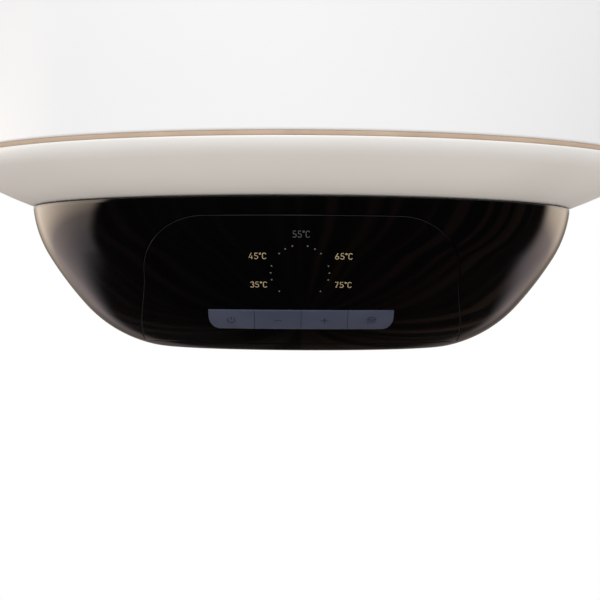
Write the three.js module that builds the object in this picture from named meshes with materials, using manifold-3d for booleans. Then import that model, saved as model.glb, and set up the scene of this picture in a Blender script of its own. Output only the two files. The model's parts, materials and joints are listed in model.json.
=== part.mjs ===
// Wall-hung storage water heater of about 80 litres, in millimetres, +Z up.
// The origin is the middle of the wall bracket's wall face: the wall is the plane y = 0,
// and the front looks along -Y.
// Inside the heater group, z = 0 is the lower edge of the jacket and x = y = 0 is the axis of the tank.
import * as THREE from "three";
import { mergeVertices } from "three/addons/utils/BufferGeometryUtils.js";
import Module from "manifold-3d";

const wasm = await Module();
wasm.setup();

// ---------------------------------------------------------------- driving dimensions
const GAP = 0.3; // clearance between pieces that touch
const ROUND = 32; // sides of the large turned pieces
const SMALL_ROUND = 12; // sides of pipes, pins and bolts

const JACKET_RADIUS = 225;
const JACKET_HEIGHT = 690;
const JACKET_WALL = 0.8;
const JACKET_LIP = 9; // width of the lip turned in at each end

const SEAL_HEIGHT = 2;
const SEAL_RECESS = 1.2; // how far the seal stands back from the jacket

const LID_WALL = 2.5;
const LID_COLLAR = 13; // height of the collar that locates a lid inside the jacket
const LID_CORNER = 12; // radius of the rounded rim of the bottom lid
const LID_SLOPE_RADIUS = 286; // radius of the shallow curve under the bottom lid
const LID_OPENING = 70; // radius of the service opening
const TOP_LID_CORNER = 14;

const COVER_RADIUS = 178; // control cover at its rim
const COVER_WALL = 2.5;
const COVER_BACK = 78; // y of the flat back wall
const COVER_BENDS = [
  { radius: 75, from: 6, to: 32, steps: 3 },
  { radius: 225, from: 32, to: 42, steps: 2 },
  { radius: 85, from: 42, to: 80, steps: 4 },
]; // front outline from the rim down, angles from the vertical

const PANEL_TILT = 36; // degrees that the display and the keys lean back
const FASCIA_HALF_WIDTH = 93;
const FASCIA_TOP = 10.6; // drop of its top edge below the cover's rim
const FASCIA_BOTTOM = 85;
const FASCIA_CORNER = 32;
const FASCIA_GAP = 0.35;
const LEDGE_WIDTH = 4;
const LEDGE_DEPTH = 2;

const KEY_COUNT = 4;
const KEYS_HALF_WIDTH = 54.8;
const KEYS_TOP = 65.1; // drop below the rim
const KEYS_BOTTOM = 76.2;
const KEYS_CORNER = 8.5;
const KEY_GAP = 0.35;
const KEY_PROUD = 0.4;
const KEY_FLANGE = 1.2; // how far a key's flange reaches behind the fascia
const KEY_TRAVEL = 0.8;

const DOT_RING = 17.3; // radius of the ring of indicator dots
const DOT_RING_DROP = 42.9;
const DOT_RADIUS = 0.7;
const DOT_ANGLES = [-45, -15, 0, 15, 45, 60, 75, 105, 120, 135, 165, 180, 195, 225];

const TANK_RADIUS = 195;
const TANK_WALL = 2;
const HEAD_DEPTH = 50; // depth of each domed head
const TANK_FLOOR = 45; // z where the bottom head meets the barrel
const NECK_RADIUS = 45;
const NECK_WALL = 4;
const FLANGE_RADIUS = 64;
const FLANGE_THICK = 4;
const NECK_RING_THICK = 10;
const NECK_RING_BOTTOM = -26;
const GASKET_THICK = 3;
const BOLT_COUNT = 5;
const BOLT_CIRCLE = 54;
const BOLT_RADIUS = 4; // M8

const PIPE_SPACING = 100;
const PIPE_BACK = 125; // y of both pipes
const PIPE_RADIUS = 10.5; // G1/2
const PIPE_BORE = 7.5;
const PIPE_END = -62; // z of the open ends

const WALL_CLEARANCE = 18; // between the wall and the back of the jacket
const BRACKET_DROP = 130; // from the jacket's upper edge down to the bracket's middle
const BRACKET_HEIGHT = 46;
const BRACKET_THICK = 3;
const BRACKET_HALF_WIDTH = 95; // half of the flat that rests on the wall
const BRACKET_FOOT_ANGLE = 33; // degrees from the back to each foot
const BRACKET_FOOT = 32; // length of a foot
const HOOK_SLOT_SPACING = 130;
const HOOK_SLOT_WIDTH = 12;
const HOOK_SLOT_HEIGHT = 24;
const STUD_RADIUS = 5; // M10

// ---------------------------------------------------------------- derived positions
const LID_RIM_Z = -(SEAL_HEIGHT + 2 * GAP);
const LID_RIM_RADIUS = JACKET_RADIUS - 0.4;
const COLLAR_RADIUS = JACKET_RADIUS - JACKET_LIP - 2 * GAP;
const TANK_CEILING = JACKET_HEIGHT - TANK_FLOOR;
const GASKET_TOP = NECK_RING_BOTTOM - GAP;
const PLATE_TOP = GASKET_TOP - GASKET_THICK - GAP;
const PLATE_BOTTOM = PLATE_TOP - FLANGE_THICK;
const PIPE_X = PIPE_SPACING / 2;
const WALL_TO_AXIS = JACKET_RADIUS + WALL_CLEARANCE;
const BRACKET_Z = JACKET_HEIGHT - BRACKET_DROP;

const rad = THREE.MathUtils.degToRad;
const span = (from, to, steps) =>
  Array.from({ length: steps + 1 }, (_, i) => from + ((to - from) * i) / steps);

// ---------------------------------------------------------------- materials
function material(color, roughness, metalness = 0) {
  return new THREE.MeshStandardMaterial({ color, roughness, metalness });
}
const whiteEnamel = material(0xf2f2f0, 0.3);
const whitePlastic = material(0xeceae6, 0.4);
const blackGloss = material(0x08080a, 0.08);
const blackPlastic = material(0x17171a, 0.5);
const keyPlastic = material(0x3b4157, 0.35);
const sealFoam = material(0xc0a283, 0.8);
const polyurethane = material(0xd9c68c, 0.95);
const tankEnamel = material(0x2c4a6e, 0.35, 0.2);
const zincSteel = material(0xb4b8bc, 0.35, 0.9);
const stainless = material(0xc3c6c9, 0.25, 0.9);
const rubber = material(0x1c1c1c, 0.85);
const magnesium = material(0x9b9d9f, 0.6, 0.6);
const brass = material(0xb8923f, 0.3, 0.9);
const nickel = material(0xc9c7c0, 0.25, 0.9);
const blueCollar = material(0x1f5fb0, 0.5);
const redCollar = material(0xb8261f, 0.5);
const circuitBoard = material(0x1f6b3a, 0.5);
const clearPlastic = material(0xd8dcdf, 0.1);
const greySilicone = material(0x8a8d92, 0.8);
const creamPlastic = material(0xe5dfcf, 0.5);
const redPlastic = material(0xc2281e, 0.45);
const brownWire = material(0x6b3d20, 0.6);
const blueWire = material(0x2a5aa8, 0.6);
const earthWire = material(0x7f9a2a, 0.6);
const greyWire = material(0x9a9a9a, 0.6);

// ---------------------------------------------------------------- solids
function solidOf(geometry) {
  const bare = new THREE.BufferGeometry();
  const plain = geometry.index ? geometry.toNonIndexed() : geometry;
  bare.setAttribute("position", plain.getAttribute("position"));
  const merged = mergeVertices(bare, 1e-4);
  return new wasm.Manifold(
    new wasm.Mesh({
      numProp: 3,
      vertProperties: merged.attributes.position.array,
      triVerts: new Uint32Array(merged.index.array),
    }),
  );
}

function geometryOf(solid) {
  const mesh = solid.getMesh();
  const geometry = new THREE.BufferGeometry();
  geometry.setAttribute("position", new THREE.BufferAttribute(mesh.vertProperties, mesh.numProp));
  geometry.setIndex(new THREE.BufferAttribute(mesh.triVerts, 1));
  return geometry;
}

const joined = (...solids) => solids.reduce((a, b) => a.add(b));
const cut = (solid, ...tools) => tools.reduce((a, b) => a.subtract(b), solid);

// A solid turned about Z from [radius, z] points, which start and end on the axis or go once round.
function turned(points, sides = ROUND) {
  const outline = points.map(([r, z]) => new THREE.Vector2(r, z));
  const onAxis = outline[0].x === 0 && outline.at(-1).x === 0;
  if (!onAxis) outline.push(outline[0].clone());
  if (THREE.ShapeUtils.area(outline) < 0) outline.reverse();
  return solidOf(new THREE.LatheGeometry(outline, sides).rotateX(Math.PI / 2));
}

// A rod or, with a bore, a tube along Z.
function rod(radius, bottom, top, { bore = 0, sides = SMALL_ROUND, at = [0, 0] } = {}) {
  const outline = [[radius, bottom], [radius, top], [bore, top], [bore, bottom]];
  return turned(bore ? outline : [[0, bottom], ...outline.slice(0, 3)], sides).translate([at[0], at[1], 0]);
}

const hexagon = (radius, bottom, top, at) => rod(radius, bottom, top, { sides: 6, at });

// A box from its lowest to its highest corner.
function box(low, high) {
  const size = high.map((h, i) => h - low[i]);
  return solidOf(new THREE.BoxGeometry(...size)).translate(low.map((l, i) => l + size[i] / 2));
}

// A flat outline of [x, y] points, extruded from z = bottom to z = top.
function slab(points, bottom, top) {
  const outline = points.map(([x, y]) => new THREE.Vector2(x, y));
  if (THREE.ShapeUtils.area(outline) < 0) outline.reverse();
  const geometry = new THREE.ExtrudeGeometry(new THREE.Shape(outline), {
    depth: top - bottom,
    bevelEnabled: false,
    steps: 1,
  });
  return solidOf(geometry.translate(0, 0, bottom));
}

// The outline of a round section.
const circle = (radius, sides = 8) => span(0, 2 * Math.PI, sides).slice(1).map((angle) => [
  radius * Math.cos(angle), radius * Math.sin(angle),
]);

// A section, as [x, y] points, carried along a smooth curve through [x, y, z] points.
function swept(points, section, steps) {
  const through = points.map((p) => new THREE.Vector3(...p));
  const curve = new THREE.CatmullRomCurve3(through, false, "centripetal");
  const shape = new THREE.Shape(section.map(([x, y]) => new THREE.Vector2(x, y)));
  return solidOf(new THREE.ExtrudeGeometry(shape, { steps, extrudePath: curve }));
}

const alongX = (solid) => solid.rotate([0, 90, 0]); // a solid made along Z, laid along +X

// ---------------------------------------------------------------- outlines made of arcs
// Points of a chain of arcs that goes down and inwards. Angles are in degrees from the vertical.
// An inset gives the parallel curve inside it.
function bend([radius, z], bends, inset = 0) {
  const points = [];
  let [r, h] = [radius, z];
  bends.forEach(({ radius: curve, from, to, steps }, index) => {
    const [centreR, centreZ] = [r - curve * Math.cos(rad(from)), h + curve * Math.sin(rad(from))];
    for (let i = index ? 1 : 0; i <= steps; i++) {
      const angle = rad(from + ((to - from) * i) / steps);
      const reach = curve - inset;
      points.push([centreR + reach * Math.cos(angle), centreZ - reach * Math.sin(angle)]);
    }
    [r, h] = [centreR + curve * Math.cos(rad(to)), centreZ - curve * Math.sin(rad(to))];
  });
  return points;
}

const mirrorZ = (points, z) => points.map(([r, h]) => [r, z - h]);

// ---------------------------------------------------------------- bottom lid outline
const LID_BENDS = [
  { radius: LID_CORNER, from: 10, to: 61, steps: 3 },
  { radius: LID_SLOPE_RADIUS, from: 61, to: 70, steps: 2 },
];
const lidCurve = (inset) => bend([LID_RIM_RADIUS, LID_RIM_Z - 1.3], LID_BENDS, inset);
const LID_FLAT_Z = lidCurve(0).at(-1)[1] - 0.7;
const COVER_TOP = LID_FLAT_Z - 0.4;

// ---------------------------------------------------------------- cover outline and the panel's frame
const coverCurve = (inset) => bend([COVER_RADIUS, COVER_TOP], COVER_BENDS, inset);
const COVER_BOTTOM = coverCurve(0).at(-1)[1];

// The solid inside the cover's outer face, set in by inset.
function coverCore(inset) {
  const curve = coverCurve(inset);
  const top = COVER_TOP + (inset > 0 ? 5 : 0);
  return turned([[0, top], [curve[0][0], top], ...curve, [0, COVER_BOTTOM + inset]]);
}

// Radius of the cover's outer face at height z.
function coverRadiusAt(z) {
  const curve = coverCurve(0);
  const i = Math.max(1, curve.findIndex(([, h]) => h <= z));
  const [[r0, z0], [r1, z1]] = [curve[i - 1], curve[i]];
  return r0 + ((r1 - r0) * (z - z0)) / (z1 - z0);
}

// The panel frame: x across, y up the panel, z out of it towards the user.
const panelMatrix = new THREE.Matrix4().makeRotationX(Math.PI / 2 + rad(PANEL_TILT));
const panelInverse = panelMatrix.clone().invert();
const inPanel = (solid) => solid.transform(panelMatrix.elements);

// The panel position of the point of the cover's face at x, dropped below the rim.
function onFace(x, drop) {
  const z = COVER_TOP - drop;
  const radius = coverRadiusAt(z);
  return new THREE.Vector3(x, -Math.sqrt(radius * radius - x * x), z).applyMatrix4(panelInverse);
}

// Distances from the origin, along the panel's axis, that span the whole face.
const PANEL_REACH = [90, 220];

// A prism square to the panel, from an outline of [x, drop] points on the cover's face.
function panelPrism(outline) {
  const points = outline.map(([x, drop]) => onFace(x, drop)).map((p) => [p.x, p.y]);
  return inPanel(slab(points, ...PANEL_REACH));
}

// ---------------------------------------------------------------- assembly
const heater = new THREE.Group();
heater.position.set(0, -WALL_TO_AXIS, -BRACKET_Z);

function add(name, solid, surface) {
  const mesh = new THREE.Mesh(geometryOf(solid), surface);
  mesh.name = name;
  heater.add(mesh);
}

// ---------------------------------------------------------------- bracket and studs
const BOSS_RADIUS = 8; // the boss welded to the tank that each stud screws into
const STUD_PROUD = 11; // how far a stud stands out of the bracket
const NUT_RADIUS = 9.8;
const NUT_THICK = 8;
const SLOT_DEPTH = [12, 5]; // how far the slot cutters reach in front of the wall and behind it
const SPACER_HALF_WIDTH = 35;
const SPACER_HEIGHTS = [70, 110]; // bottom and top, above the jacket's bottom edge
const SPACER_SINK = 12; // how far its ends wrap round the jacket

const footDirection = (side) => [
  side * Math.sin(rad(BRACKET_FOOT_ANGLE)), Math.cos(rad(BRACKET_FOOT_ANGLE)),
];

// A solid made along Z, turned to point out of the jacket at one foot of the bracket.
const atFoot = (solid, side) =>
  solid.rotate([-90, 0, 0]).rotate([0, 0, -side * BRACKET_FOOT_ANGLE]).translate([0, 0, BRACKET_Z]);

function studHoles(radius, from, to) {
  return joined(...[-1, 1].map((side) => atFoot(rod(radius, from, to), side)));
}

function addBracket() {
  const inner = JACKET_RADIUS + 2 * GAP;
  const corner = (side, depth, along) => {
    const [nx, ny] = footDirection(side);
    return [nx * depth + side * ny * along, ny * depth - Math.abs(nx) * along];
  };
  const half = (depth, back) => [
    [BRACKET_HALF_WIDTH, back],
    corner(1, depth, -BRACKET_FOOT / 2),
    corner(1, depth, BRACKET_FOOT / 2),
  ];
  const right = half(inner, WALL_TO_AXIS - BRACKET_THICK);
  const rightOuter = half(inner + BRACKET_THICK, WALL_TO_AXIS);
  const mirrored = (points) => points.map(([x, y]) => [-x, y]).reverse();
  const outline = [
    ...mirrored(right), ...right, ...rightOuter.toReversed(), ...mirrored(rightOuter).reverse(),
  ];
  const low = BRACKET_Z - BRACKET_HEIGHT / 2;
  const strap = slab(outline, low, low + BRACKET_HEIGHT);
  const slots = [-1, 1].map((side) => {
    const x = (side * HOOK_SLOT_SPACING) / 2;
    return box(
      [x - HOOK_SLOT_WIDTH / 2, WALL_TO_AXIS - SLOT_DEPTH[0], BRACKET_Z - HOOK_SLOT_HEIGHT / 2],
      [x + HOOK_SLOT_WIDTH / 2, WALL_TO_AXIS + SLOT_DEPTH[1], BRACKET_Z + HOOK_SLOT_HEIGHT / 2],
    );
  });
  const holes = studHoles(STUD_RADIUS + GAP, JACKET_RADIUS - 5, WALL_TO_AXIS);
  add("wall_bracket", cut(strap, ...slots, holes), zincSteel);

  for (const [side, word] of [[-1, "left"], [1, "right"]]) {
    const boss = rod(BOSS_RADIUS, TANK_RADIUS + GAP, JACKET_RADIUS + GAP);
    const thread = rod(STUD_RADIUS, TANK_RADIUS + 2, inner + BRACKET_THICK + STUD_PROUD);
    add(`bracket_stud_${word}`, atFoot(joined(boss, thread), side), zincSteel);
    const seat = inner + BRACKET_THICK + GAP;
    const bore = rod(STUD_RADIUS + GAP, seat - 1, seat + NUT_THICK + 1);
    const nut = cut(hexagon(NUT_RADIUS, seat, seat + NUT_THICK), bore);
    add(`bracket_nut_${word}`, atFoot(nut, side), zincSteel);
  }

  const [padLow, padHigh] = SPACER_HEIGHTS;
  const pad = box(
    [-SPACER_HALF_WIDTH, JACKET_RADIUS - SPACER_SINK, padLow],
    [SPACER_HALF_WIDTH, WALL_TO_AXIS, padHigh],
  );
  const casing = rod(JACKET_RADIUS + GAP, padLow - 10, padHigh + 10, { sides: ROUND });
  add("wall_spacer", cut(pad, casing), blackPlastic);
}

// ---------------------------------------------------------------- casing
const LID_SCREW_HOLE = 2.3;
const LID_PIPE_HOLE = 17;
const LID_CUT = [5, 8]; // how far cutters reach below and above the flat of the bottom lid
const LID_FOLD = 4; // depth of the lid's rim inside
const TOP_LID_CROWN = 779; // radius of the top lid's shallow crown
const lidDrill = (radius, at, sides) =>
  rod(radius, LID_FLAT_Z - LID_CUT[0], LID_FLAT_Z + LID_CUT[1], { at, sides });

function addCasing() {
  const [outer, inner, lip] = [JACKET_RADIUS, JACKET_RADIUS - JACKET_WALL, JACKET_RADIUS - JACKET_LIP];
  const jacket = turned([
    [lip, 0], [outer, 0], [outer, JACKET_HEIGHT], [lip, JACKET_HEIGHT], [lip, JACKET_HEIGHT - JACKET_WALL],
    [inner, JACKET_HEIGHT - JACKET_WALL], [inner, JACKET_WALL], [lip, JACKET_WALL],
  ]);
  const holes = studHoles(BOSS_RADIUS + 1, JACKET_RADIUS - 8, JACKET_RADIUS + 5);
  add("outer_jacket", cut(jacket, holes), whiteEnamel);

  const seal = [
    [COLLAR_RADIUS + GAP, -GAP - SEAL_HEIGHT], [outer - SEAL_RECESS, -GAP - SEAL_HEIGHT],
    [outer - SEAL_RECESS, -GAP], [COLLAR_RADIUS + GAP, -GAP],
  ];
  add("lower_seal_ring", turned(seal), sealFoam);
  add("upper_seal_ring", turned(mirrorZ(seal, JACKET_HEIGHT)), sealFoam);

  const collar = [
    [COLLAR_RADIUS - LID_WALL, LID_COLLAR], [COLLAR_RADIUS, LID_COLLAR], [COLLAR_RADIUS, LID_RIM_Z],
    [LID_RIM_RADIUS, LID_RIM_Z],
  ];
  const lid = turned([
    ...collar, ...lidCurve(0), [COVER_RADIUS - 3, LID_FLAT_Z], [LID_OPENING, LID_FLAT_Z],
    [LID_OPENING, LID_FLAT_Z + LID_WALL], [COVER_RADIUS - 3, LID_FLAT_Z + LID_WALL],
    ...lidCurve(LID_WALL).reverse().slice(0, 4),
    [COLLAR_RADIUS - LID_WALL, LID_RIM_Z - LID_WALL - LID_FOLD],
  ]);
  const pipeHoles = [-1, 1].map((side) => lidDrill(LID_PIPE_HOLE, [side * PIPE_X, PIPE_BACK], 20));
  const screwHoles = [-1, 1].map((side) => lidDrill(LID_SCREW_HOLE, earScrew(side), 8));
  add("bottom_lid", cut(lid, ...pipeHoles, ...screwHoles), whitePlastic);

  const topBends = [
    { radius: TOP_LID_CORNER, from: 10, to: 74, steps: 3 },
    { radius: TOP_LID_CROWN, from: 74, to: 90, steps: 3 },
  ];
  const dome = (inset) => bend([LID_RIM_RADIUS, LID_RIM_Z - 1.3], topBends, inset);
  const [outerDome, innerDome] = [dome(0), dome(LID_WALL)];
  outerDome.at(-1)[0] = 0;
  innerDome.at(-1)[0] = 0;
  const topLid = [
    ...outerDome.toReversed(), ...collar.toReversed(),
    [COLLAR_RADIUS - LID_WALL, LID_RIM_Z - LID_WALL - LID_FOLD], ...innerDome.slice(2),
  ];
  add("top_lid", turned(mirrorZ(topLid, JACKET_HEIGHT)), whitePlastic);
}

// ---------------------------------------------------------------- tank
// Height of the outside of the bottom head at a radius.
function headZ(radius, wall = 0) {
  const share = Math.min(1, radius / (TANK_RADIUS - wall));
  return TANK_FLOOR - (HEAD_DEPTH - wall) * Math.sqrt(1 - share * share);
}

function headCurve(wall, from = 0) {
  const start = Math.asin(from / (TANK_RADIUS - wall));
  return span(start, Math.PI / 2, 4).map((angle) => {
    const radius = (TANK_RADIUS - wall) * Math.sin(angle);
    return [radius, TANK_FLOOR - (HEAD_DEPTH - wall) * Math.cos(angle)];
  });
}

function addTank() {
  const barrel = rod(TANK_RADIUS, TANK_FLOOR + GAP, TANK_CEILING - GAP, {
    bore: TANK_RADIUS - TANK_WALL, sides: ROUND,
  });
  add("tank_barrel", barrel, tankEnamel);

  const opening = NECK_RADIUS + 2 * GAP;
  const bottomHead = turned([...headCurve(0, opening), ...headCurve(TANK_WALL, opening).toReversed()]);
  const pipes = [-1, 1].map((side) => rod(PIPE_RADIUS + GAP, -20, 60, { at: [side * PIPE_X, PIPE_BACK] }));
  add("tank_bottom_head", cut(bottomHead, ...pipes), tankEnamel);

  const [outside, inside] = [headCurve(0), headCurve(TANK_WALL)];
  add("tank_top_head", turned(mirrorZ([...outside, ...inside.toReversed()], JACKET_HEIGHT)), tankEnamel);

  const neckTop = headZ(NECK_RADIUS, TANK_WALL) + 4;
  const neck = turned([
    [NECK_RADIUS - NECK_WALL, NECK_RING_BOTTOM], [FLANGE_RADIUS, NECK_RING_BOTTOM],
    [FLANGE_RADIUS, NECK_RING_BOTTOM + NECK_RING_THICK], [NECK_RADIUS, NECK_RING_BOTTOM + NECK_RING_THICK],
    [NECK_RADIUS, neckTop], [NECK_RADIUS - NECK_WALL, neckTop],
  ], 32);
  add("tank_flange_neck", cut(neck, ...boltHoles(BOLT_RADIUS + GAP)), tankEnamel);
}

const FOAM_STEP = 14; // how far the foam's full width stays from each end of the jacket

function addFoam() {
  const outer = JACKET_RADIUS - JACKET_WALL - 2 * GAP;
  const waist = COLLAR_RADIUS - LID_WALL - 2 * GAP;
  const clear = (TANK_RADIUS + 2 * GAP) / (TANK_RADIUS * Math.cos(Math.PI / ROUND));
  const grown = (points) => points.map(([r, z]) => [r * clear, z]);
  const under = grown(headCurve(0, LID_OPENING)).map(([r, z]) => [r, z - 1]);
  const over = mirrorZ(grown(headCurve(0)), JACKET_HEIGHT).map(([r, z]) => [r, z + 1]);
  const foam = turned([
    [0, JACKET_HEIGHT + 26], [150, JACKET_HEIGHT + 20], [waist, JACKET_HEIGHT + 4],
    [waist, JACKET_HEIGHT - FOAM_STEP], [outer, JACKET_HEIGHT - FOAM_STEP],
    [outer, FOAM_STEP], [waist, FOAM_STEP], [waist, -4], [172, -22], [LID_OPENING, -24],
    ...under, ...over.toReversed(),
  ]);
  const sleeves = [-1, 1].map((side) => rod(PIPE_RADIUS + 1, -40, 60, { at: [side * PIPE_X, PIPE_BACK] }));
  const bosses = studHoles(BOSS_RADIUS + GAP, TANK_RADIUS - 5, JACKET_RADIUS);
  add("insulation_foam", cut(foam, ...sleeves, bosses), polyurethane);
}

// ---------------------------------------------------------------- flange and what it carries
const boltPlaces = span(0, BOLT_COUNT - 1, BOLT_COUNT - 1).map((i) => {
  const angle = Math.PI / 2 + (2 * Math.PI * i) / BOLT_COUNT;
  return [BOLT_CIRCLE * Math.cos(angle), BOLT_CIRCLE * Math.sin(angle)];
});
const boltHoles = (radius) => boltPlaces.map((at) => rod(radius, -60, 5, { at, sides: 8 }));

const ELEMENT_RADIUS = 4;
const ELEMENT_Y = -15;
const ELEMENT_LEGS = [-27, -9, 9, 27];
const POCKET_AT = [-22, 12];
const POCKET_RADIUS = 6;
const POCKET_TOP = 230;
const ANODE_AT = [16, 18];
const ANODE_RADIUS = 11;
const SENSOR_AT = [-4, 33];
const EARTH_AT = [44, -14];
const ELEMENT_TURNS = [22, 250]; // heights of the bottom and top bends
const ELEMENT_RISE = 9; // how far each bend goes past those
const TERMINAL_RADIUS = 1.8;
const GASKET_BORE = 38;
const BOLT_HEAD = [7.5, 5.5]; // radius over the corners, and height
const EARTH_STUD = [2.5, 12]; // radius and length
const ANODE_STEM = 4;
const ANODE_TOP = 270;
const PROBE_RADIUS = 3;
const PROBE_TOP = 40;

function addFlange() {
  const gasket = { bore: GASKET_BORE, sides: 32 };
  add("flange_gasket", rod(BOLT_CIRCLE - 6, GASKET_TOP - GASKET_THICK, GASKET_TOP, gasket), rubber);

  const holes = [
    ...boltHoles(BOLT_RADIUS + 0.5),
    ...[0, 3].map((leg) =>
      rod(ELEMENT_RADIUS + GAP, -50, 0, { at: [ELEMENT_LEGS[leg], ELEMENT_Y] })),
    rod(POCKET_RADIUS + GAP, -50, 0, { at: POCKET_AT }),
    rod(ANODE_STEM + GAP, -50, 0, { at: ANODE_AT, sides: 8 }),
    rod(PROBE_RADIUS + GAP, -50, 0, { at: SENSOR_AT, sides: 8 }),
  ];
  const plate = rod(FLANGE_RADIUS, PLATE_BOTTOM, PLATE_TOP, { sides: 32 });
  const [earthRadius, earthLength] = EARTH_STUD;
  const earthStud = rod(earthRadius, PLATE_BOTTOM - earthLength, PLATE_BOTTOM + 1, {
    at: EARTH_AT, sides: 12,
  });
  add("flange_plate", joined(cut(plate, ...holes), earthStud), zincSteel);

  boltPlaces.forEach((at, i) => {
    const [headRadius, headHeight] = BOLT_HEAD;
    const head = hexagon(headRadius, PLATE_BOTTOM - GAP - headHeight, PLATE_BOTTOM - GAP, at);
    const shankTop = NECK_RING_BOTTOM + NECK_RING_THICK + 2;
    const shank = rod(BOLT_RADIUS, PLATE_BOTTOM - 2, shankTop, { at, sides: 8 });
    add(`flange_bolt_${i + 1}`, joined(head, shank), zincSteel);
  });

  const [low, high] = ELEMENT_TURNS;
  const [leg0, leg1, leg2, leg3] = ELEMENT_LEGS;
  const on = (x, z) => [x, ELEMENT_Y, z];
  const between = (from, to, z) => on((from + to) / 2, z);
  const route = [
    on(leg0, PLATE_BOTTOM - 3), on(leg0, low), on(leg0, high), between(leg0, leg1, high + ELEMENT_RISE),
    on(leg1, high), on(leg1, low), between(leg1, leg2, low - ELEMENT_RISE),
    on(leg2, low), on(leg2, high), between(leg2, leg3, high + ELEMENT_RISE),
    on(leg3, high), on(leg3, low), on(leg3, PLATE_BOTTOM - 3),
  ];
  const terminals = [leg0, leg3].map((x) =>
    rod(TERMINAL_RADIUS, PLATE_BOTTOM - 14, PLATE_BOTTOM - 1, { at: [x, ELEMENT_Y], sides: 8 }));
  add("heating_element", joined(swept(route, circle(ELEMENT_RADIUS, 6), 44), ...terminals), stainless);

  const pocket = rod(POCKET_RADIUS, PLATE_BOTTOM - 1, POCKET_TOP, { at: POCKET_AT });
  const pocketBore = rod(POCKET_RADIUS - 1, PLATE_BOTTOM - 2, POCKET_TOP - 2, { at: POCKET_AT });
  add("sensor_pocket", cut(pocket, pocketBore), stainless);

  const stem = rod(ANODE_STEM, PLATE_BOTTOM - 8, PLATE_TOP + 3, { at: ANODE_AT, sides: 8 });
  const anode = rod(ANODE_RADIUS, PLATE_TOP + 2, ANODE_TOP, { at: ANODE_AT });
  add("anode_rod", joined(anode, stem), magnesium);

  const probe = rod(PROBE_RADIUS, PLATE_BOTTOM - 4, PROBE_TOP, { at: SENSOR_AT, sides: 8 });
  const hex = hexagon(6, PLATE_BOTTOM - 9, PLATE_BOTTOM - GAP, SENSOR_AT);
  add("temperature_sensor", joined(probe, hex), brass);
}

// ---------------------------------------------------------------- water connections
function addPipes() {
  const nippleTop = headZ(Math.hypot(PIPE_X, PIPE_BACK)) + 8;
  for (const [side, water, collar] of [[1, "inlet", blueCollar], [-1, "outlet", redCollar]]) {
    const at = [side * PIPE_X, PIPE_BACK];
    add(`${water}_nipple`, rod(PIPE_RADIUS, PIPE_END, nippleTop, { bore: PIPE_BORE, at }), zincSteel);
    const ring = turned([
      [PIPE_RADIUS + GAP + 0.1, LID_FLAT_Z - 4.5], [21, LID_FLAT_Z - 4.5], [21, LID_FLAT_Z - GAP],
      [16, LID_FLAT_Z - GAP], [16, LID_FLAT_Z + 5], [PIPE_RADIUS + GAP + 0.1, LID_FLAT_Z + 5],
    ], 20).translate([...at, 0]);
    add(`${water}_collar`, ring, collar);
  }

  const hot = [-PIPE_X, PIPE_BACK];
  const dipTube = rod(PIPE_BORE - GAP, nippleTop - 25, TANK_CEILING + 10, { bore: 5, at: hot });
  add("hot_dip_tube", dipTube, stainless);

  const cold = [PIPE_X, PIPE_BACK];
  const top = nippleTop + 40;
  const cap = turned([
    [0, top], [15, top], [15, nippleTop + 26], [PIPE_RADIUS + 2, nippleTop - 1],
    [PIPE_RADIUS + GAP, nippleTop - 1], [PIPE_RADIUS + GAP, nippleTop + 26], [13, nippleTop + 30],
    [13, top - 2], [0, top - 2],
  ]).translate([...cold, 0]);
  const windows = [0, 90].map((turn) =>
    box([-20, -4, nippleTop + 32], [20, 4, top - 4]).rotate([0, 0, turn]).translate([...cold, 0]));
  add("inlet_diffuser", cut(cap, ...windows), creamPlastic);
}

// ---------------------------------------------------------------- control cover
const ARCH_STEPS = 8;

// The fascia's arch as [x, drop] points on the cover's face, grown outwards all round.
function arch(grow) {
  const half = FASCIA_HALF_WIDTH + grow;
  const [top, bottom] = [FASCIA_TOP - grow, FASCIA_BOTTOM + grow];
  const corner = FASCIA_CORNER + grow;
  const rightCorner = span(0, 90, 6).map((angle) => [
    half - corner + corner * Math.sin(rad(angle)), top + corner - corner * Math.cos(rad(angle)),
  ]);
  const topEdge = span(corner - half, half - corner, ARCH_STEPS).slice(1, -1).map((x) => [x, top]);
  const bottomEdge = span(90, -90, 2 * ARCH_STEPS).map((angle) => [half * Math.sin(rad(angle)), bottom]);
  return [...rightCorner, ...bottomEdge, ...rightCorner.toReversed().map(([x, z]) => [-x, z]), ...topEdge];
}

// The stretch of the key strip from x0 to x1, which rounds off at its lower corners.
function keyStrip(x0, x1, grow) {
  const half = KEYS_HALF_WIDTH + grow;
  const corner = KEYS_CORNER + grow;
  const flat = half - corner;
  const onArc = span(0, 90, 4).map((angle) => flat + corner * Math.sin(rad(angle)));
  const everywhere = [...onArc.map((x) => -x), ...onArc, ...span(-flat, flat, 16)];
  const stops = everywhere.filter((x) => x > x0 && x < x1);
  const across = [x0, ...new Set(stops.toSorted((a, b) => a - b)), x1];
  const bottomAt = (x) => {
    const past = Math.min(corner, Math.max(0, Math.abs(x) - flat));
    return KEYS_BOTTOM + grow - corner + Math.sqrt(corner * corner - past * past);
  };
  return [...across.map((x) => [x, KEYS_TOP - grow]), ...across.toReversed().map((x) => [x, bottomAt(x)])];
}

const DOT_CENTRE = onFace(0, DOT_RING_DROP);
const DOT_SIDES = 6;
const dotPlaces = DOT_ANGLES.map((angle) => [
  DOT_RING * Math.cos(rad(angle)), DOT_CENTRE.y + DOT_RING * Math.sin(rad(angle)),
]);

const EAR_X = 128; // of the two screws behind the cover, which hold it to the lid
const EAR_RADIUS = 9;
const EAR_THICK = 3;
const GLAND_THREAD = 9.6;

function earScrew(side) {
  return [side * EAR_X, COVER_BACK + 10];
}

function coverShell(from, to) {
  return cut(coverCore(from), coverCore(to));
}

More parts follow.
